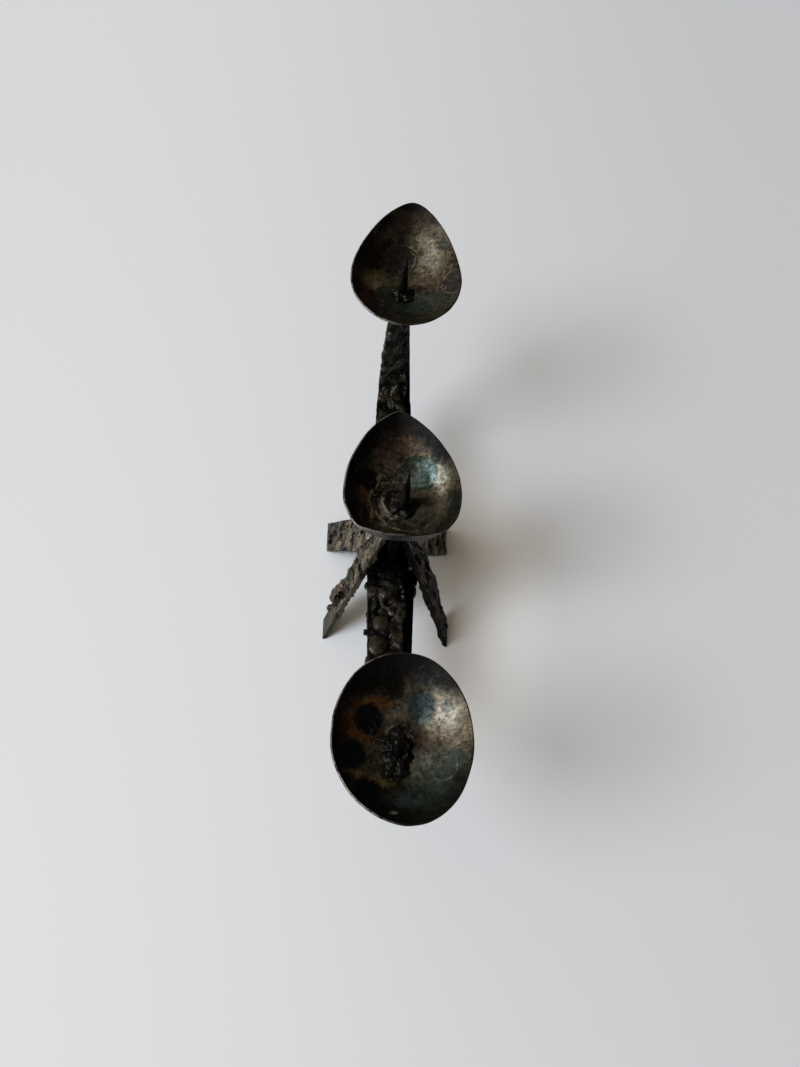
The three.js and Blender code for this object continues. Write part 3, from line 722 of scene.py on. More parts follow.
BACK_SPOTS = [
    # The tan and ash spots here paint the window's highlight on the right wall, over tan oxide.
    (14, 30, 20, 32, OLIVE, 9, 0.85), (19, 32, 13, 20, TAN_AND_HIGHLIGHT, 7, 0.75),
    (19.3, 29, 6, 11, ASH_AND_HIGHLIGHT, 4, 0.7), (25, 46, 3, 7, TAN_AND_HIGHLIGHT, 2, 0.7), (6, 58, 13, 8, BRONZE, 6, 0.6),
    (16, 9, 11, 7, PINK_BROWN, 4, 0.7), (11.8, -9.4, 22, 12, TEAL, 5, 0.45),
    (1, -15, 18, 9, DARK_TEAL, 4, 0.6), (-19, 6, 9, 9, STRAW, 3.5, 0.9),
    (-17.5, 3, 4, 3, ASH_AND_HIGHLIGHT, 1.6, 0.7), (-15, -4, 1.6, 6, STRAW, 1.4, 0.8),
    (-7, 9, 9, 4, DULL_TAN, 3, 0.6), (-12.5, -2, 6, 7.5, DARK_TEAL, 1.6, 0.9),
    # The soot spot on the left paints the shade of the left wall.
    (-26, 24, 7, 14, SOOT_AND_SHADE, 6, 0.7), (-26.5, -10, 3.5, 10, RUST, 3, 0.55),
    (4.7, 67.6, 6.6, 3.4, BLUE_BLACK, 1.6, 0.95), (27.2, 37.5, 3.4, 4.6, PALE_SLATE, 1.2, 0.8),
    (25.8, 47.5, 1, 1.6, PINK_BROWN, 0.8, 0.8), (28.1, 28, 2.2, 3.4, TAN_AND_HIGHLIGHT, 1.6, 0.6),
    (-2, 28.5, 11.9, 11.6, VIOLET_GREY, 0.8, 1, BRONZE, 1.6),
    # The small soot spot right of the spike paints the spike's shadow.
    (-6, 29.5, 7.5, 9.5, SCALE_BROWN, 3, 0.85), (10.8, 6, 4, 2.6, SOOT_AND_SHADE, 1.4, 0.8),
    (14, 8.5, 3, 1.8, PINK_BROWN, 1.8, 0.6), (34.6, 4, 8.2, 9.8, VIOLET_GREY, 0.8, 0.9, TAN_AND_HIGHLIGHT, 1),
    (0, -2, 7, 6, SOOT_AND_SHADE, 3, 0.85),
]
BACK_LINES = [
    (-2, 28.5, 12.9, 12.6, 1.1, TAN_AND_HIGHLIGHT, 1.9, 7, 31, 14),
    (-2, 28.5, 10.1, 9.7, 0.9, TAN_AND_HIGHLIGHT, 1.5, 6, 31, 12),
    (34.6, 4, 8.4, 10, 0.5, CREAM_LINE, 0.9, 28, 8, 11),
    (34, 1, 5.2, 6.6, 0.5, ASH_AND_HIGHLIGHT, 0.7, 30, -3, 7),
]
sheet_looks = {
    "front": tinted_sheet("front", FRONT_SPOTS, FRONT_LINES, (18, 42, 0.95), (-3, 2, 18, 22), 3),
    "centre": tinted_sheet("centre", CENTRE_SPOTS, CENTRE_LINES, (12, 36, 1), (-8, 6, 17, 28), 7),
    "back": tinted_sheet("back", BACK_SPOTS, BACK_LINES, (34, 66, 0.5), (8, 14, 16, 18), 12),
}
print("heat spots:", len(FRONT_SPOTS), len(CENTRE_SPOTS), len(BACK_SPOTS))

# %% Beat the three pans
RIM_ROUNDING = 0.45
pans = []
for name, sizes in PANS.items():
    pan = new_object(f"pan_{name}", bpy.data.meshes.new(f"pan_{name}"))
    grow(pan, beaten_pan, sheet_looks[name], sizes)
    wall = pan.modifiers.new("sheet", "SOLIDIFY")
    wall.thickness = SHEET * MM
    wall.offset = 1.0
    rim = pan.modifiers.new("rim", "BEVEL")
    rim.limit_method = "ANGLE"
    rim.angle_limit = math.radians(50)
    rim.width = RIM_ROUNDING * MM
    rim.segments = 2
    settle(pan)
    place_piece(pan, "heat_tinted_sheet", f"drip_pan_{name}")
    pans.append(pan)

# %% [markdown]
# ## Crusted bar
#
# The arms and legs are plain flat bar, and the maker let melted steel and slag run over them. It
# froze as glassy domes, folds and pits. Sculpting each lump by hand would not repeat, so one tree
# raises them all from a few rules: Voronoi cells for domes and pits, the crest lines of a noise for
# folds, and fine noise for grain. Each bar is first copied from its solid, the lumps that can be
# told apart in the picture are added as flattened balls, and a voxel remesh melts them together.

# %% Copy a solid and melt lumps onto it
WELD_GAP = 1e-6


def ball_on(mesh, middle, sizes, facing):
    """A ball flattened along facing, in millimetres."""
    turn = Vector(facing).normalized().to_track_quat("Z", "Y").to_matrix().to_4x4()
    stretch = Matrix.Diagonal((*[s * MM for s in sizes], 1))
    matrix = Matrix.Translation(Vector(middle) * MM) @ turn @ stretch
    bmesh.ops.create_icosphere(mesh, subdivisions=3, radius=1.0, matrix=matrix)


def solid_copy(name, node, lumps=(), added=None):
    """A merged copy of a solid, with lumps, each (middle, sizes, facing), or another mesh."""
    mesh = bmesh.new()
    mesh.from_mesh(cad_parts[node].data)
    bmesh.ops.remove_doubles(mesh, verts=mesh.verts, dist=WELD_GAP)
    for middle, sizes, facing in lumps:
        ball_on(mesh, middle, sizes, facing)
    if added:
        mesh.from_mesh(added)
    return mesh_object(name, mesh)


def mark_near(piece, domes, hollows):
    """Marks the skin near smooth domes and near hollows, each (x, y, z, radius) in millimetres."""
    settle(piece)
    count = len(piece.data.vertices)
    places = np.empty(count * 3)
    piece.data.vertices.foreach_get("co", places)
    places = places.reshape(-1, 3) / MM
    for label, spots in (("calm", domes), ("hollow", hollows)):
        mark = np.zeros(count)
        for *middle, radius in spots:
            away = np.linalg.norm(places - np.array(middle), axis=1) / radius
            mark = np.maximum(mark, np.clip((1.2 - away) / 0.5, 0, 1))
        piece.data.attributes.new(label, "FLOAT", "POINT").data.foreach_set("value", mark)


def melt(piece, voxel, rounds):
    """Fuses a piece to one skin, with voxels in millimetres, and rounds its edges."""
    remesh = piece.modifiers.new("melt", "REMESH")
    remesh.mode = "VOXEL"
    remesh.voxel_size = voxel * MM
    soften = piece.modifiers.new("soften", "SMOOTH")
    soften.factor = 0.5
    soften.iterations = rounds
    return piece


# %% Measures of the crusts, in millimetres or as shares
CRUST_MEASURES = (
    "Edge Share", "Stretch", "Dome Size", "Dome Height", "Dome Share", "Fold Size", "Fold Height",
    "Knot Size", "Knot Height", "Pit Size", "Pit Depth", "Pit Share", "Grain Size", "Grain Height",
    "Hollow Depth",
)
CRUST_ROWS = {
    "plain": (0.35, 1, 10, 1, 0.5, 7, 0.7, 4, 0.8, 5, 0.9, 0.5, 1.3, 0.16, 1.6),
    "arm": (0.25, 1, 14, 0.9, 0.35, 17, 0.7, 11, 1, 8, 1.8, 0.5, 2.4, 1.1, 1.6),
    "leg": (0.2, 1.5, 14, 0.6, 0.3, 10, 1.1, 8.5, 1.7, 7, 4.2, 0.55, 2.8, 0.8, 3),
    "spike": (1, 2, 10, 0, 0.5, 7, 0, 5, 0.35, 3, 0.1, 0.5, 1, 0.12, 1.6),
    "collar": (1, 1, 5.5, 0.6, 0.5, 5, 0.35, 3.6, 0.6, 3.6, 0.6, 0.4, 1.2, 0.12, 1.6),
    "rough_collar": (1, 1, 5.5, 0.6, 0.5, 5, 0.35, 3.6, 0.6, 3.6, 0.6, 0.4, 1.8, 0.4, 1.6),
    "lump": (1, 1, 9, 1, 0.5, 5, 0.25, 6.5, 1.3, 5, 1, 0.4, 1.8, 0.5, 1.6),
    "bead": (1, 1, 10, 0, 0.5, 7, 0, 3, 0.35, 3.4, 0.3, 0.3, 1.3, 0.14, 1.6),
}
CRUSTS = {name: dict(zip(CRUST_MEASURES, map(float, row))) for name, row in CRUST_ROWS.items()}
CRUST_BOUNDS = {
    "Edge Axis": (1.0, 0.0, 0.0), "Along": (0.0, 1.0, 0.0), "Bare From": 1000.0,
    "Bare Below": -1000.0, "Seed": 0.0,
}


# %% The crust tree
def crust_tree():
    tree, ask, end = new_tree("slag_crust", {**CRUSTS["plain"], **CRUST_BOUNDS})
    place = where(tree).times(1 / MM)
    facing = read(tree, "GeometryNodeInputNormal")
    seed, along = ask("Seed"), ask("Along")
    seeded = place.plus(joined(seed * 37.0, seed * 11.0, seed * 5.0))
    pull = seeded.dot(along) * (1.0 - 1.0 / ask("Stretch"))
    crooked = seeded.minus(along.times(pull)).warped(11.0, 5.0).warped(4.0, 1.0)
    far, chance = crooked.cells(ask("Dome Size"))
    dome_chance, _, _ = chance.parts()
    dome = far.smooth(0.58, 0.08) * dome_chance.math("LESS_THAN", ask("Dome Share"))
    folded = crooked.noise(ask("Fold Size"), detail=1.0)
    fold = (folded - 0.5).math("ABSOLUTE").smooth(0.10, 0.0)
    knot = crooked.noise(ask("Knot Size"), detail=1.5).smooth(0.36, 0.66)
    hole, hole_chance = crooked.cells(ask("Pit Size"))
    pit_chance, pit_width, _ = hole_chance.parts()
    grain = seeded.noise(ask("Grain Size"), detail=3.0, roughness=0.6) - 0.5
    pit = (hole * (1.35 - pit_width * 0.7) + grain * 0.5).smooth(0.42, 0.15)
    pit = pit * pit_chance.math("LESS_THAN", ask("Pit Share"))
    rise = dome * ask("Dome Height") + fold * ask("Fold Height") + (knot - 0.4) * ask("Knot Height")
    rise = rise - pit * ask("Pit Depth") * (1.0 - dome)
    wander = (seeded.noise(9.0) - 0.5) * 9.0
    x, _, z = place.parts()
    crusted = (x + wander).smooth(ask("Bare From") + 1.2, ask("Bare From") - 1.2)
    crusted = crusted * (z + wander * 0.5).smooth(ask("Bare Below"), ask("Bare Below") + 3.0)
    edge = facing.dot(ask("Edge Axis")).math("ABSOLUTE").smooth(0.55, 0.85)
    calm, hollow = [
        read(tree, "GeometryNodeInputNamedAttribute", {"Name": label}, data_type="FLOAT")
        for label in ("calm", "hollow")
    ]
    share = crusted * (1.0 - edge * (1.0 - ask("Edge Share"))) * (1.0 - calm * 0.9)
    height = rise * share + grain * ask("Grain Height") * (share * 0.92 + 0.08)
    height = height - hollow * ask("Hollow Depth")
    moved = set_place(ask("Geometry"), Offset=facing.times(height * MM))
    x, y, z = where(tree).parts()
    skin = set_place(moved, Position=joined(x, y, z.math("MAXIMUM", 0.0)))
    skin = store(skin, "relief", rise * share * 0.45 + 0.4 - hollow)
    skin = store(skin, "dome", dome.math("MAXIMUM", calm) * crusted)
    skin = store(skin, "crusted", crusted)
    finish_tree(tree, skin, ask("Material"), end)
    return tree


slag_crust = crust_tree()
print("crust tree:", len(slag_crust.nodes), "nodes")


def crusted(name, node, slot, look, values, skin, marks=None, **more):
    """A crusted copy of a solid, put in its place. Skin is its voxel size and smoothing rounds."""
    piece = melt(solid_copy(name, node, **more), *skin)
    if marks:
        mark_near(piece, *marks)
    grow(piece, slag_crust, looks[look], values)
    place_piece(piece, slot, node)
    return piece


# %% [markdown]
# ## Finishes of the crust
#
# Slag is close to black glass: dark, glossy in the hollows and bronze on the domes. Where the bars
# of the legs are crusted, the scale is duller and browner, with rust on the raised parts. The tree
# stored how high each point was raised, and the materials read that as an attribute.

# %% Slag, leg scale, spike steel and weld metal
def crust_look(name, seed, roughness, metallic, bare_gain, depth, shine, hub_shade_reach, shades):
    """Crusted metal. Bare metal is more metallic than the crust by bare gain. Depth is that of the
    fine bumps, in millimetres. Painted shade darkens what is nearer to the middle of the row than
    the reach given for it, for the dark shade round the hub.
    The shades, in thousandths, are of hollows, slopes, tops, domes, stains and bare metal."""
    shades = [(*[part / 1000 for part in shade], 1) for shade in shades]
    low, middle, high, dome, stain, bare = shades
    material, tree, shader = new_material(name)
    straight = object_place(tree)
    place = straight.plus((seed * 23.0, seed * 7.0, seed * 3.0))
    relief = stored(tree, "relief") + (place.noise(3.0, 4.0, 0.55) - 0.5) * 0.30
    colour = blend(relief.smooth(0.15, 0.60), low, middle)
    colour = blend(relief.smooth(0.62, 1.05), colour, high)
    patch = place.noise(8.0, 4.0, 0.65)
    tinted_dome = blend(patch.smooth(0.40, 0.60), dome, middle)
    colour = blend(stored(tree, "dome").smooth(0.2, 0.8) * 0.8, colour, tinted_dome)
    colour = blend(patch.smooth(0.56, 0.68) * 0.5, colour, stain)
    fleck = place.noise(1.2, 3.0, 0.6)
    colour = colour.times(fleck.smooth(0.3, 0.7) * 0.3 + 0.85)
    bared = stored(tree, "crusted").smooth(0.5, 0.1)
    colour = blend(bared, colour, bare)
    _, away, height = straight.parts()
    colour = colour.times(height.smooth(1.4, 3.2) * 0.85 + 0.15)
    # Painted shade round the hub: darker, rougher and more metallic within the given reach of the
    # middle of the row.
    hub_shade = (away + (patch - 0.5) * 16.0).math("ABSOLUTE").smooth(hub_shade_reach + 6.0, hub_shade_reach - 6.0)
    colour = colour.times(1.0 - hub_shade * 0.8)
    dullness = (patch - 0.5) * 0.9 + (fleck - 0.5) * 0.4 + hub_shade * 0.3 + roughness
    grain = place.noise(0.7, 3.0) * 0.3 + place.noise(2.4, 3.0, 0.55)
    finish_shader(shader, colour, dullness, grain, depth, relief=0.9, shine=shine)
    metal = bared * bare_gain + hub_shade * 0.5 + metallic
    plug(shader.inputs["Metallic"], metal.math("MINIMUM", 1.0))
    return material


FINISHES = {
    # Seed, roughness, metallic, bare gain, depth, shine, reach of the painted hub shade, and
    # shades.
    "arm_slag": (1, 0.3, 0.25, 0.7, 0.26, 0.24, 26, (
        (1, 1, 1), (4, 4, 3), (34, 30, 22), (46, 36, 21), (16, 10, 8), (2, 2, 2.5),
    )),
    "leg_scale": (2, 0.34, 0.45, 0, 0.16, 0.38, -50, (
        (2, 2, 1.5), (56, 47, 33), (150, 127, 92), (85, 50, 28), (42, 27, 16), (19, 17, 13),
    )),
    # A darker copy of the leg scale: the near right leg's own darker scale, with the shade of its
    # side away from the window painted in.
    "dark_and_shaded_leg_scale": (5, 0.38, 0.3, 0, 0.2, 0.1, -50, (
        (2, 1.5, 1), (4, 3, 2.5), (32, 23, 17), (25, 15, 11), (22, 10, 7), (6, 5, 4),
    )),
    "spike_black": (3, 0.34, 0.5, 0, 0.08, 0.25, -50, (
        (2, 2, 2), (4, 4, 4), (10, 10, 9), (8, 8, 8), (7, 5, 4), (5, 5, 5),
    )),
    "weld_grey": (4, 0.36, 0.5, 0, 0.12, 0.3, -50, (
        (3, 3, 3), (9, 9, 8), (45, 43, 40), (14, 13, 12), (14, 10, 8), (8, 8, 8),
    )),
    # Near black all over: blackened iron, with the dark shade under the centre pan painted in.
    "black_and_shaded_bar": (6, 0.7, 0.95, 0, 0.1, 0.05, -50, (
        (1, 1, 1), (2, 2, 2), (6, 6, 5), (6, 6, 5), (5, 4, 3), (3, 3, 3),
    )),
}
looks = {name: crust_look(name, *row) for name, row in FINISHES.items()}
print("finishes:", list(looks))

# %% [markdown]
# ## The arms and the centre post
#
# Both arms are one bent bar each, with the crust mostly on the broad faces and a smooth margin down
# the right side. The big bronze domes on the near arm are separate lumps, because their places can
# be read in the picture.

# %% Lumps, domes and hollows of the arms, in millimetres
UP = (0.0, 0.0, 1.0)
CLIMB_BACK = (0.0, -0.95, 0.31)
CLIMB_STARTS = 130
# A lump is (x, y, z) of its middle and its half sizes across, along and outwards.
ARM_LUMPS = {
    "front": [
        (-6.3, -59, 59.6, 5.8, 6.4, 2.1), (-8.3, -75.4, 59.6, 6.8, 7.8, 2.5),
        (5.5, -69, 59.6, 4.2, 5, 1.2), (3.5, -83, 59.6, 5, 4.6, 1.8),
        (-10, -46, 59.6, 3.2, 3.8, 1.8), (-12.5, -36, 59.6, 3, 3.4, 2),
        (-4.5, -37, 59.6, 3.4, 2.6, 1.5), (5, -42, 59.6, 4.4, 3.6, 1.6),
        (1.5, -50.5, 59.6, 2.8, 2.6, 1.7), (-1.8, -27.5, 59.6, 4.6, 2.2, 1.8),
        (4.6, -25.2, 59.6, 3.8, 1.6, 1.7), (8, -30, 59.6, 1.5, 3.8, 1.5),
        (-16.9, -31, 58.6, 2, 3, 1.9), (-17, -66.2, 59, 1.4, 1.7, 1.4),
        (17, -24, 57.6, 2.4, 5.5, 2.6), (16.8, -33, 57.6, 1.7, 5, 2),
        (-15.2, -53, 59.2, 2.2, 3, 1.4), (-14, -88, 59.4, 3, 4, 1.6),
    ],
    "back": [
        (-0.4, 142.3, 103.7, 3.4, 4.8, 1.9), (-6, 143.9, 119.4, 3.2, 6, 2),
        (-7.8, 138.2, 70.1, 4, 5, 2.2), (0.8, 126.8, 60.2, 5, 4.4, 2),
        (-9.8, 142, 96, 2.6, 5.5, 1.8), (-9, 141, 84, 3.4, 4.2, 2), (-4, 145.5, 136, 3.2, 5, 1.8),
        (2, 144, 128, 2.4, 3.8, 1.5), (-9, 105, 59.6, 5, 6, 2.2), (-2, 90, 59.6, 5.5, 5, 2),
        (-11, 75, 59.6, 4, 5.5, 2), (-4, 60, 59.6, 5, 4.5, 2.1), (-10, 45, 59.6, 4.4, 5, 1.9),
        (2, 42, 59.6, 4, 4.2, 1.6),
    ],
}
# A dome or a hollow is (x, y, z, radius).
ARM_DOMES = {
    "front": [(-6.3, -59, 60.5, 6), (-8.3, -75.4, 60.5, 7.2), (5.5, -69, 60.5, 4.4)],
    "back": [(-9, 105, 60.5, 5), (-2, 90, 60.5, 4.8)],
}
ARM_HOLLOWS = {
    "front": [
        (1.5, -56, 60.5, 2.4), (-9, -51, 60.5, 2.6), (-2, -44, 60.5, 2.2), (1.5, -76, 60.5, 2.6),
        (7, -35, 60.5, 2),
    ],
    "back": [(-3, 146.5, 112, 2.4), (-1, 142, 92, 2.6), (-5, 98, 60.5, 2.4)],
}


def lump_rows(rows, facing):
    """Lumps with the direction that each one bulges in, found from where it is along the row."""
    return [(row[:3], row[3:], facing(row[1])) for row in rows]


# %% Arms and post
ARM_SKIN = (0.5, 3)
ARM_OWN = {"front": {"Seed": 4.0, "Bare From": 9.5}, "back": {"Seed": 9.0, "Bare From": 8.0}}
POST_OWN = {"Edge Axis": (0.0, 1.0, 0.0), "Dome Height": 0.5, "Knot Height": 0.6, "Seed": 14.0}
arms = []
for name, own in ARM_OWN.items():
    lumps = lump_rows(ARM_LUMPS[name], lambda y: CLIMB_BACK if y > CLIMB_STARTS else UP)
    marks = ARM_DOMES[name], ARM_HOLLOWS[name]
    values = {**CRUSTS["arm"], **own}
    arms.append(crusted(f"crusted_arm_{name}", f"arm_{name}", "crusted_bar", "arm_slag", values,
                        ARM_SKIN, marks, lumps=lumps))
# The post takes the near-black bar finish, which paints the dark shade under the centre pan.
crusted("crusted_post", "centre_post", "crusted_bar", "black_and_shaded_bar",
        {**CRUSTS["arm"], **POST_OWN}, ARM_SKIN)

# %% [markdown]
# ## The legs
#
# The legs stand at about 67 degrees and splay along the row. The left pair has ridges that run
# across the bar like bark, and the near one has a thick run of slag on its near edge. The near
# right leg is drawn out along its length instead. So the same tree is used with another grain
# direction and another stretch for each leg.

# %% Directions on a leg, and its lumps, domes and hollows in millimetres
LEAN = 0.397
UPRIGHT = 0.918
LEG_TOP_Y = 0.022


def leg_facing(side):
    """Outward normal of a leg's broad face. Side is -1 on the left and 1 on the right."""
    return Vector((side * UPRIGHT, 0.0, LEAN))


def leg_axes(node, side):
    """Directions along a leg and across it, in the plane of its broad face."""
    low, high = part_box(node)
    splay = low.y + LEG_TOP_Y if "front" in node else high.y - LEG_TOP_Y
    down = Vector((side * LEAN, 0.0, -UPRIGHT)) * (high.z - low.z) / UPRIGHT
    lengthwise = (down + Vector((0, splay, 0))).normalized()
    return lengthwise, lengthwise.cross(leg_facing(side)).normalized()


LEG_LUMPS = {
    "front_left": [
        (-33.8, -19.4, 30.6, 3.6, 4.4, 3), (-35.3, -20.2, 26.8, 4.8, 5.2, 4.2),
        (-37.2, -21.4, 22.4, 5.2, 5.8, 4.6), (-39.2, -22.8, 17.8, 4, 4.6, 3.6),
        (-42.3, -28.2, 10.8, 2.6, 3.4, 2.2), (-32.5, -17, 33.5, 2, 4, 1.8),
        (-27.5, -12.4, 45.2, 1.9, 2.8, 1.5), (-17.4, -19.5, 66.4, 1.6, 2.2, 1.4),
        (-24, -16, 52, 2.8, 1.8, 1.5), (-20, -9, 60, 2, 4.4, 1.3),
    ],
    "front_right": [
        (29, -34, 38, 1.9, 2.6, 1.6), (43.8, -37.8, 7.6, 1.3, 1.8, 1.2),
        (27.5, -14.5, 45, 1.6, 5.5, 1.3), (35, -23, 27, 1.6, 6, 1.3),
    ],
    "back_left": [
        (-24, 19, 52, 2.6, 5, 1.6), (-31, 26, 36, 2.4, 5.6, 1.6), (-38, 32, 20, 2, 5, 1.4),
        (-18, 15, 66, 2.2, 5, 1.4),
    ],
    "back_right": [
        (36, 30, 24, 3, 4, 2), (43, 38, 8, 2.6, 3.4, 2), (40, 24, 15, 2.2, 3, 1.8),
        (29, 20, 41, 2.8, 3.4, 1.8),
    ],
}
LEG_DOMES = {
    "front_left": [
        (-38.8, -21.2, 23.2, 6.4), (-36.8, -19.8, 28.4, 5.6), (-41, -22.8, 18.2, 5),
        (-43, -28, 11, 2.8),
    ],
}
LEG_HOLLOWS = {
    "front_left": [
        (-36.5, -27.4, 25, 2.9), (-34.6, -26, 29.5, 2.4), (-38.4, -28.5, 20.5, 2.3),
        (-26, -18.5, 48, 2.2), (-21.5, -15, 58, 2.4),
    ],
    "back_left": [(-42, 33, 13, 2.6), (-36, 24, 26, 2.2), (-28, 26, 45, 2.4)],
}

# %% Legs
LEG_SKIN = (0.42, 3)
GRAIN_SLANT = 0.35
LEG_OWN = {
    "front_left": {"Seed": 21.0, "Bare Below": 13.0, "Fold Height": 0.9},
    "front_right": {"Seed": 26.0, "Stretch": 2.4, "Dome Height": 0.2},
    "back_left": {"Seed": 31.0},
    "back_right": {"Seed": 36.0, "Stretch": 1.2, "Knot Height": 1.8},
}
legs = []
for name, own in LEG_OWN.items():
    side = -1 if "left" in name else 1
    lengthwise, across = leg_axes(f"leg_{name}", side)
    grain_way, look = (across + lengthwise * GRAIN_SLANT * side).normalized(), "leg_scale"
    # The near right leg gets the darker scale, which also paints the shade of its side away from
    # the window.
    if name == "front_right":
        grain_way, look = lengthwise, "dark_and_shaded_leg_scale"
    lumps = lump_rows(LEG_LUMPS[name], lambda y: leg_facing(side))
    marks = LEG_DOMES.get(name, ()), LEG_HOLLOWS.get(name, ())
    ways = {"Edge Axis": tuple(across), "Along": tuple(grain_way), "Bare Below": 0.5}
    values = {**CRUSTS["leg"], **ways, **own}
    legs.append(crusted(f"crusted_leg_{name}", f"leg_{name}", "leg_bar", look, values, LEG_SKIN,
                        marks, lumps=lumps))

# %% [markdown]
# ## Spikes and the slag round them
#
# Each spike is a short bar drawn to a point by hammering, so its faces are slightly uneven. It is
# welded upright in the pan, and the weld has spread into a low, rough lump. Both are copied from
# their solids and remeshed finely, which keeps them where the solids are.

# %% Spikes and their welds
SPIKE_SKIN = (0.25, 2)
COLLAR_SKIN = (0.3, 2)
COLLARS = {"front": ("lump", 41.0), "centre": ("collar", 43.0), "back": ("rough_collar", 47.0)}
for name, (crust, seed) in COLLARS.items():
    crusted(f"forged_spike_{name}", f"spike_{name}", "spike_steel", "spike_black",
            {**CRUSTS["spike"], "Along": UP, "Seed": seed}, SPIKE_SKIN)
    crusted(f"spike_slag_{name}", f"spike_weld_{name}", "weld_metal", "spike_black",
            {**CRUSTS[crust], "Seed": seed + 3}, COLLAR_SKIN)

# %% [markdown]
# ## Weld beads
#
# An arc weld is a row of puddles, each frozen half over the last. So a bead is made by setting a
# flattened ball every millimetre or two along the joint, which is what Geometry Nodes do best: a
# line becomes a curve, the curve is cut into even steps, and a ball stands at each step. The balls
# and the bead's own solid are then melted together.

# %% The bead tree
BEAD = {"Pitch": 1.5, "Radius": 2.1, "Unevenness": 0.14, "Seed": 0}


def random_number(seed, smallest, largest):
    """A number for each point, between two values."""
    values = {"Seed": seed, 2: smallest, 3: largest}
    return read(seed.tree, "FunctionNodeRandomValue", values, 1, data_type="FLOAT")


def balls_at(tree, points, segments, rings, radius, **moves):
    """A ball at each point."""
    sizes = {"Segments": segments, "Rings": rings, "Radius": radius}
    ball = read(tree, "GeometryNodeMeshUVSphere", sizes)
    inputs = {"Points": points, "Instance": ball, **moves}
    return read(tree, "GeometryNodeInstanceOnPoints", inputs)


def bead_tree():
    tree, ask, end = new_tree("weld_bead", BEAD)
    line = read(tree, "GeometryNodeMeshToCurve", {"Mesh": ask("Geometry")})
    cut = {"Curve": line, "Length": ask("Pitch") * MM}
    steps = read(tree, "GeometryNodeResampleCurve", cut, mode="LENGTH")
    size = random_number(ask("Seed"), 1.0 - ask("Unevenness"), ask("Unevenness") + 1.0)
    rows = balls_at(tree, steps, 14, 9, ask("Radius") * MM, Scale=size)
    finish_tree(tree, rows, ask("Material"), end)
    return tree


weld_bead = bead_tree()


def line_object(name, points, closed):
    """A line through points in millimetres, as a mesh of edges."""
    data = bpy.data.meshes.new(name)
    edges = [(i, i + 1) for i in range(len(points) - 1)]
    if closed:
        edges.append((len(points) - 1, 0))
    data.from_pydata([[x * MM for x in p] for p in points], edges, [])
    return new_object(name, data)


def bead_line(node, radius):
    """The middle line of a bead, read from its solid's box: a ring, or a line along its length."""
    low, high = [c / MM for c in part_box(node)]
    if "pan_weld" in node or node == "post_weld":
        x0, y0, x1, y1 = low.x + radius, low.y + radius, high.x - radius, high.y - radius
        z = low.z + radius if node == "post_weld" else high.z - radius
        return [(x0, y0, z), (x1, y0, z), (x1, y1, z), (x0, y1, z)], True
    middle, size = (low + high) / 2, high - low
    reach = Vector([s / 2 - radius if s == max(size) else 0.0 for s in size])
    return [middle - reach, middle + reach], False


# %% Lay the beads
BEAD_SKIN = (0.35, 1)
BEAD_RADII = {
    "pan_weld_back": 2.0, "pan_weld_centre": 2.0, "pan_weld_front": 2.0, "post_weld": 2.1,
    "hub_weld": 1.2, "leg_weld_front_left": 2.2, "leg_weld_front_right": 2.2,
    "leg_weld_back_left": 2.2, "leg_weld_back_right": 2.2, "peak_weld_left": 1.5,
    "peak_weld_right": 1.5,
}
for number, (node, radius) in enumerate(BEAD_RADII.items()):
    puddles = line_object(f"puddles_{node}", *bead_line(node, radius))
    grow(puddles, weld_bead, looks["weld_grey"], {"Radius": radius, "Seed": number})
    added = puddles.data
    bpy.data.objects.remove(puddles)
    # Hub, post and peak welds take the near-black bar finish, which paints the dark shade there.
    look = "weld_grey" if "pan" in node or "leg" in node else "black_and_shaded_bar"
    values = {**CRUSTS["bead"], "Seed": 51.0 + number}
    crusted(f"bead_{node}", node, "weld_metal", look, values, BEAD_SKIN, added=added)

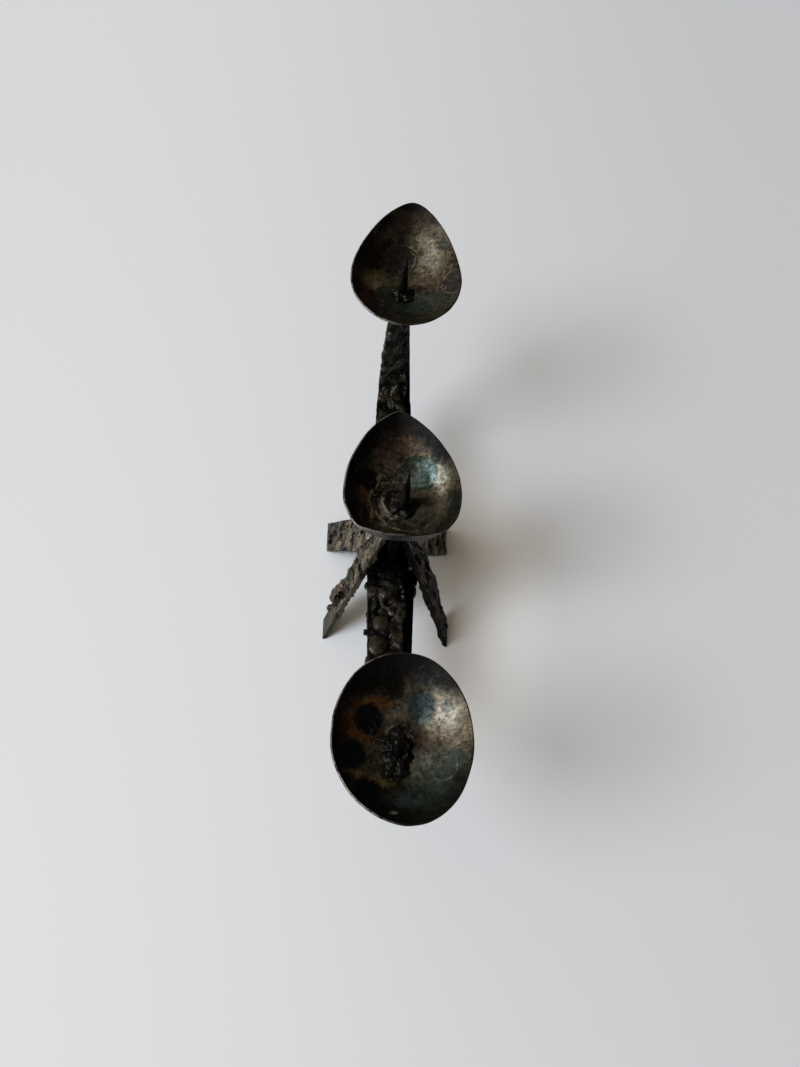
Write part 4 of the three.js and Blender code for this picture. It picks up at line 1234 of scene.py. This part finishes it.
# %% [markdown]
# ## Spatter
#
# Welding throws droplets that stick where they land. They are tiny and there are many, so a tree
# scatters points over the bars and the pans and puts a small flat ball at each one. A ball that is
# used hundreds of times has few faces.

# %% The spatter tree
SPATTER = {"Density": 9000.0, "Smallest": 0.25, "Largest": 0.9, "Seed": 5}
FLATNESS = 0.6


def spatter_tree():
    tree, ask, end = new_tree("slag_spatter", SPATTER)
    spread = {"Mesh": ask("Geometry"), "Density": ask("Density"), "Seed": ask("Seed")}
    points = add(tree, "GeometryNodeDistributePointsOnFaces", spread)
    width = random_number(ask("Seed"), ask("Smallest"), ask("Largest"))
    scale = joined(width, width, width * FLATNESS)
    turn = points.outputs["Rotation"]
    drops = balls_at(tree, points.outputs["Points"], 8, 5, MM, Rotation=turn, Scale=scale)
    finish_tree(tree, drops, ask("Material"), end)
    return tree


slag_spatter = spatter_tree()


def faces_where(name, sources, wanted):
    """A copy of the faces of some pieces that pass a test on their middle, in mm, and normal."""
    mesh = bmesh.new()
    for source in sources:
        mesh.from_mesh(source.data)
    gone = [f for f in mesh.faces if not wanted(f.calc_center_median() / MM, f.normal)]
    bmesh.ops.delete(mesh, geom=gone, context="FACES")
    return mesh_object(name, mesh)


# %% Droplets
def on_arm_top(place, normal):
    return place.x < 10 and abs(normal.x) < 0.6 and normal.z > -0.1


def on_leg_front(place, normal):
    return normal.z > 0.2 and place.z > 8


def near_pan_low(place, normal):
    return normal.z > 0.4 and min((place - low).length for low in LOWS.values()) < 30


DROPS = {
    "spatter_arms": (arms, on_arm_top, "weld_grey", "crusted_bar", {"Density": 3000.0, "Seed": 5}),
    "spatter_legs": (legs, on_leg_front, "leg_scale", "leg_bar",
                     {"Density": 3500.0, "Largest": 0.7, "Seed": 6}),
    "spatter_pans": (pans, near_pan_low, "weld_grey", "weld_metal",
                     {"Density": 2200.0, "Smallest": 0.15, "Largest": 0.38, "Seed": 8}),
}
for name, (sources, wanted, look, slot, own) in DROPS.items():
    drops = grow(faces_where(name, sources, wanted), slag_spatter, looks[look], own)
    faces_outward(drops)
    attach(drops, "root")
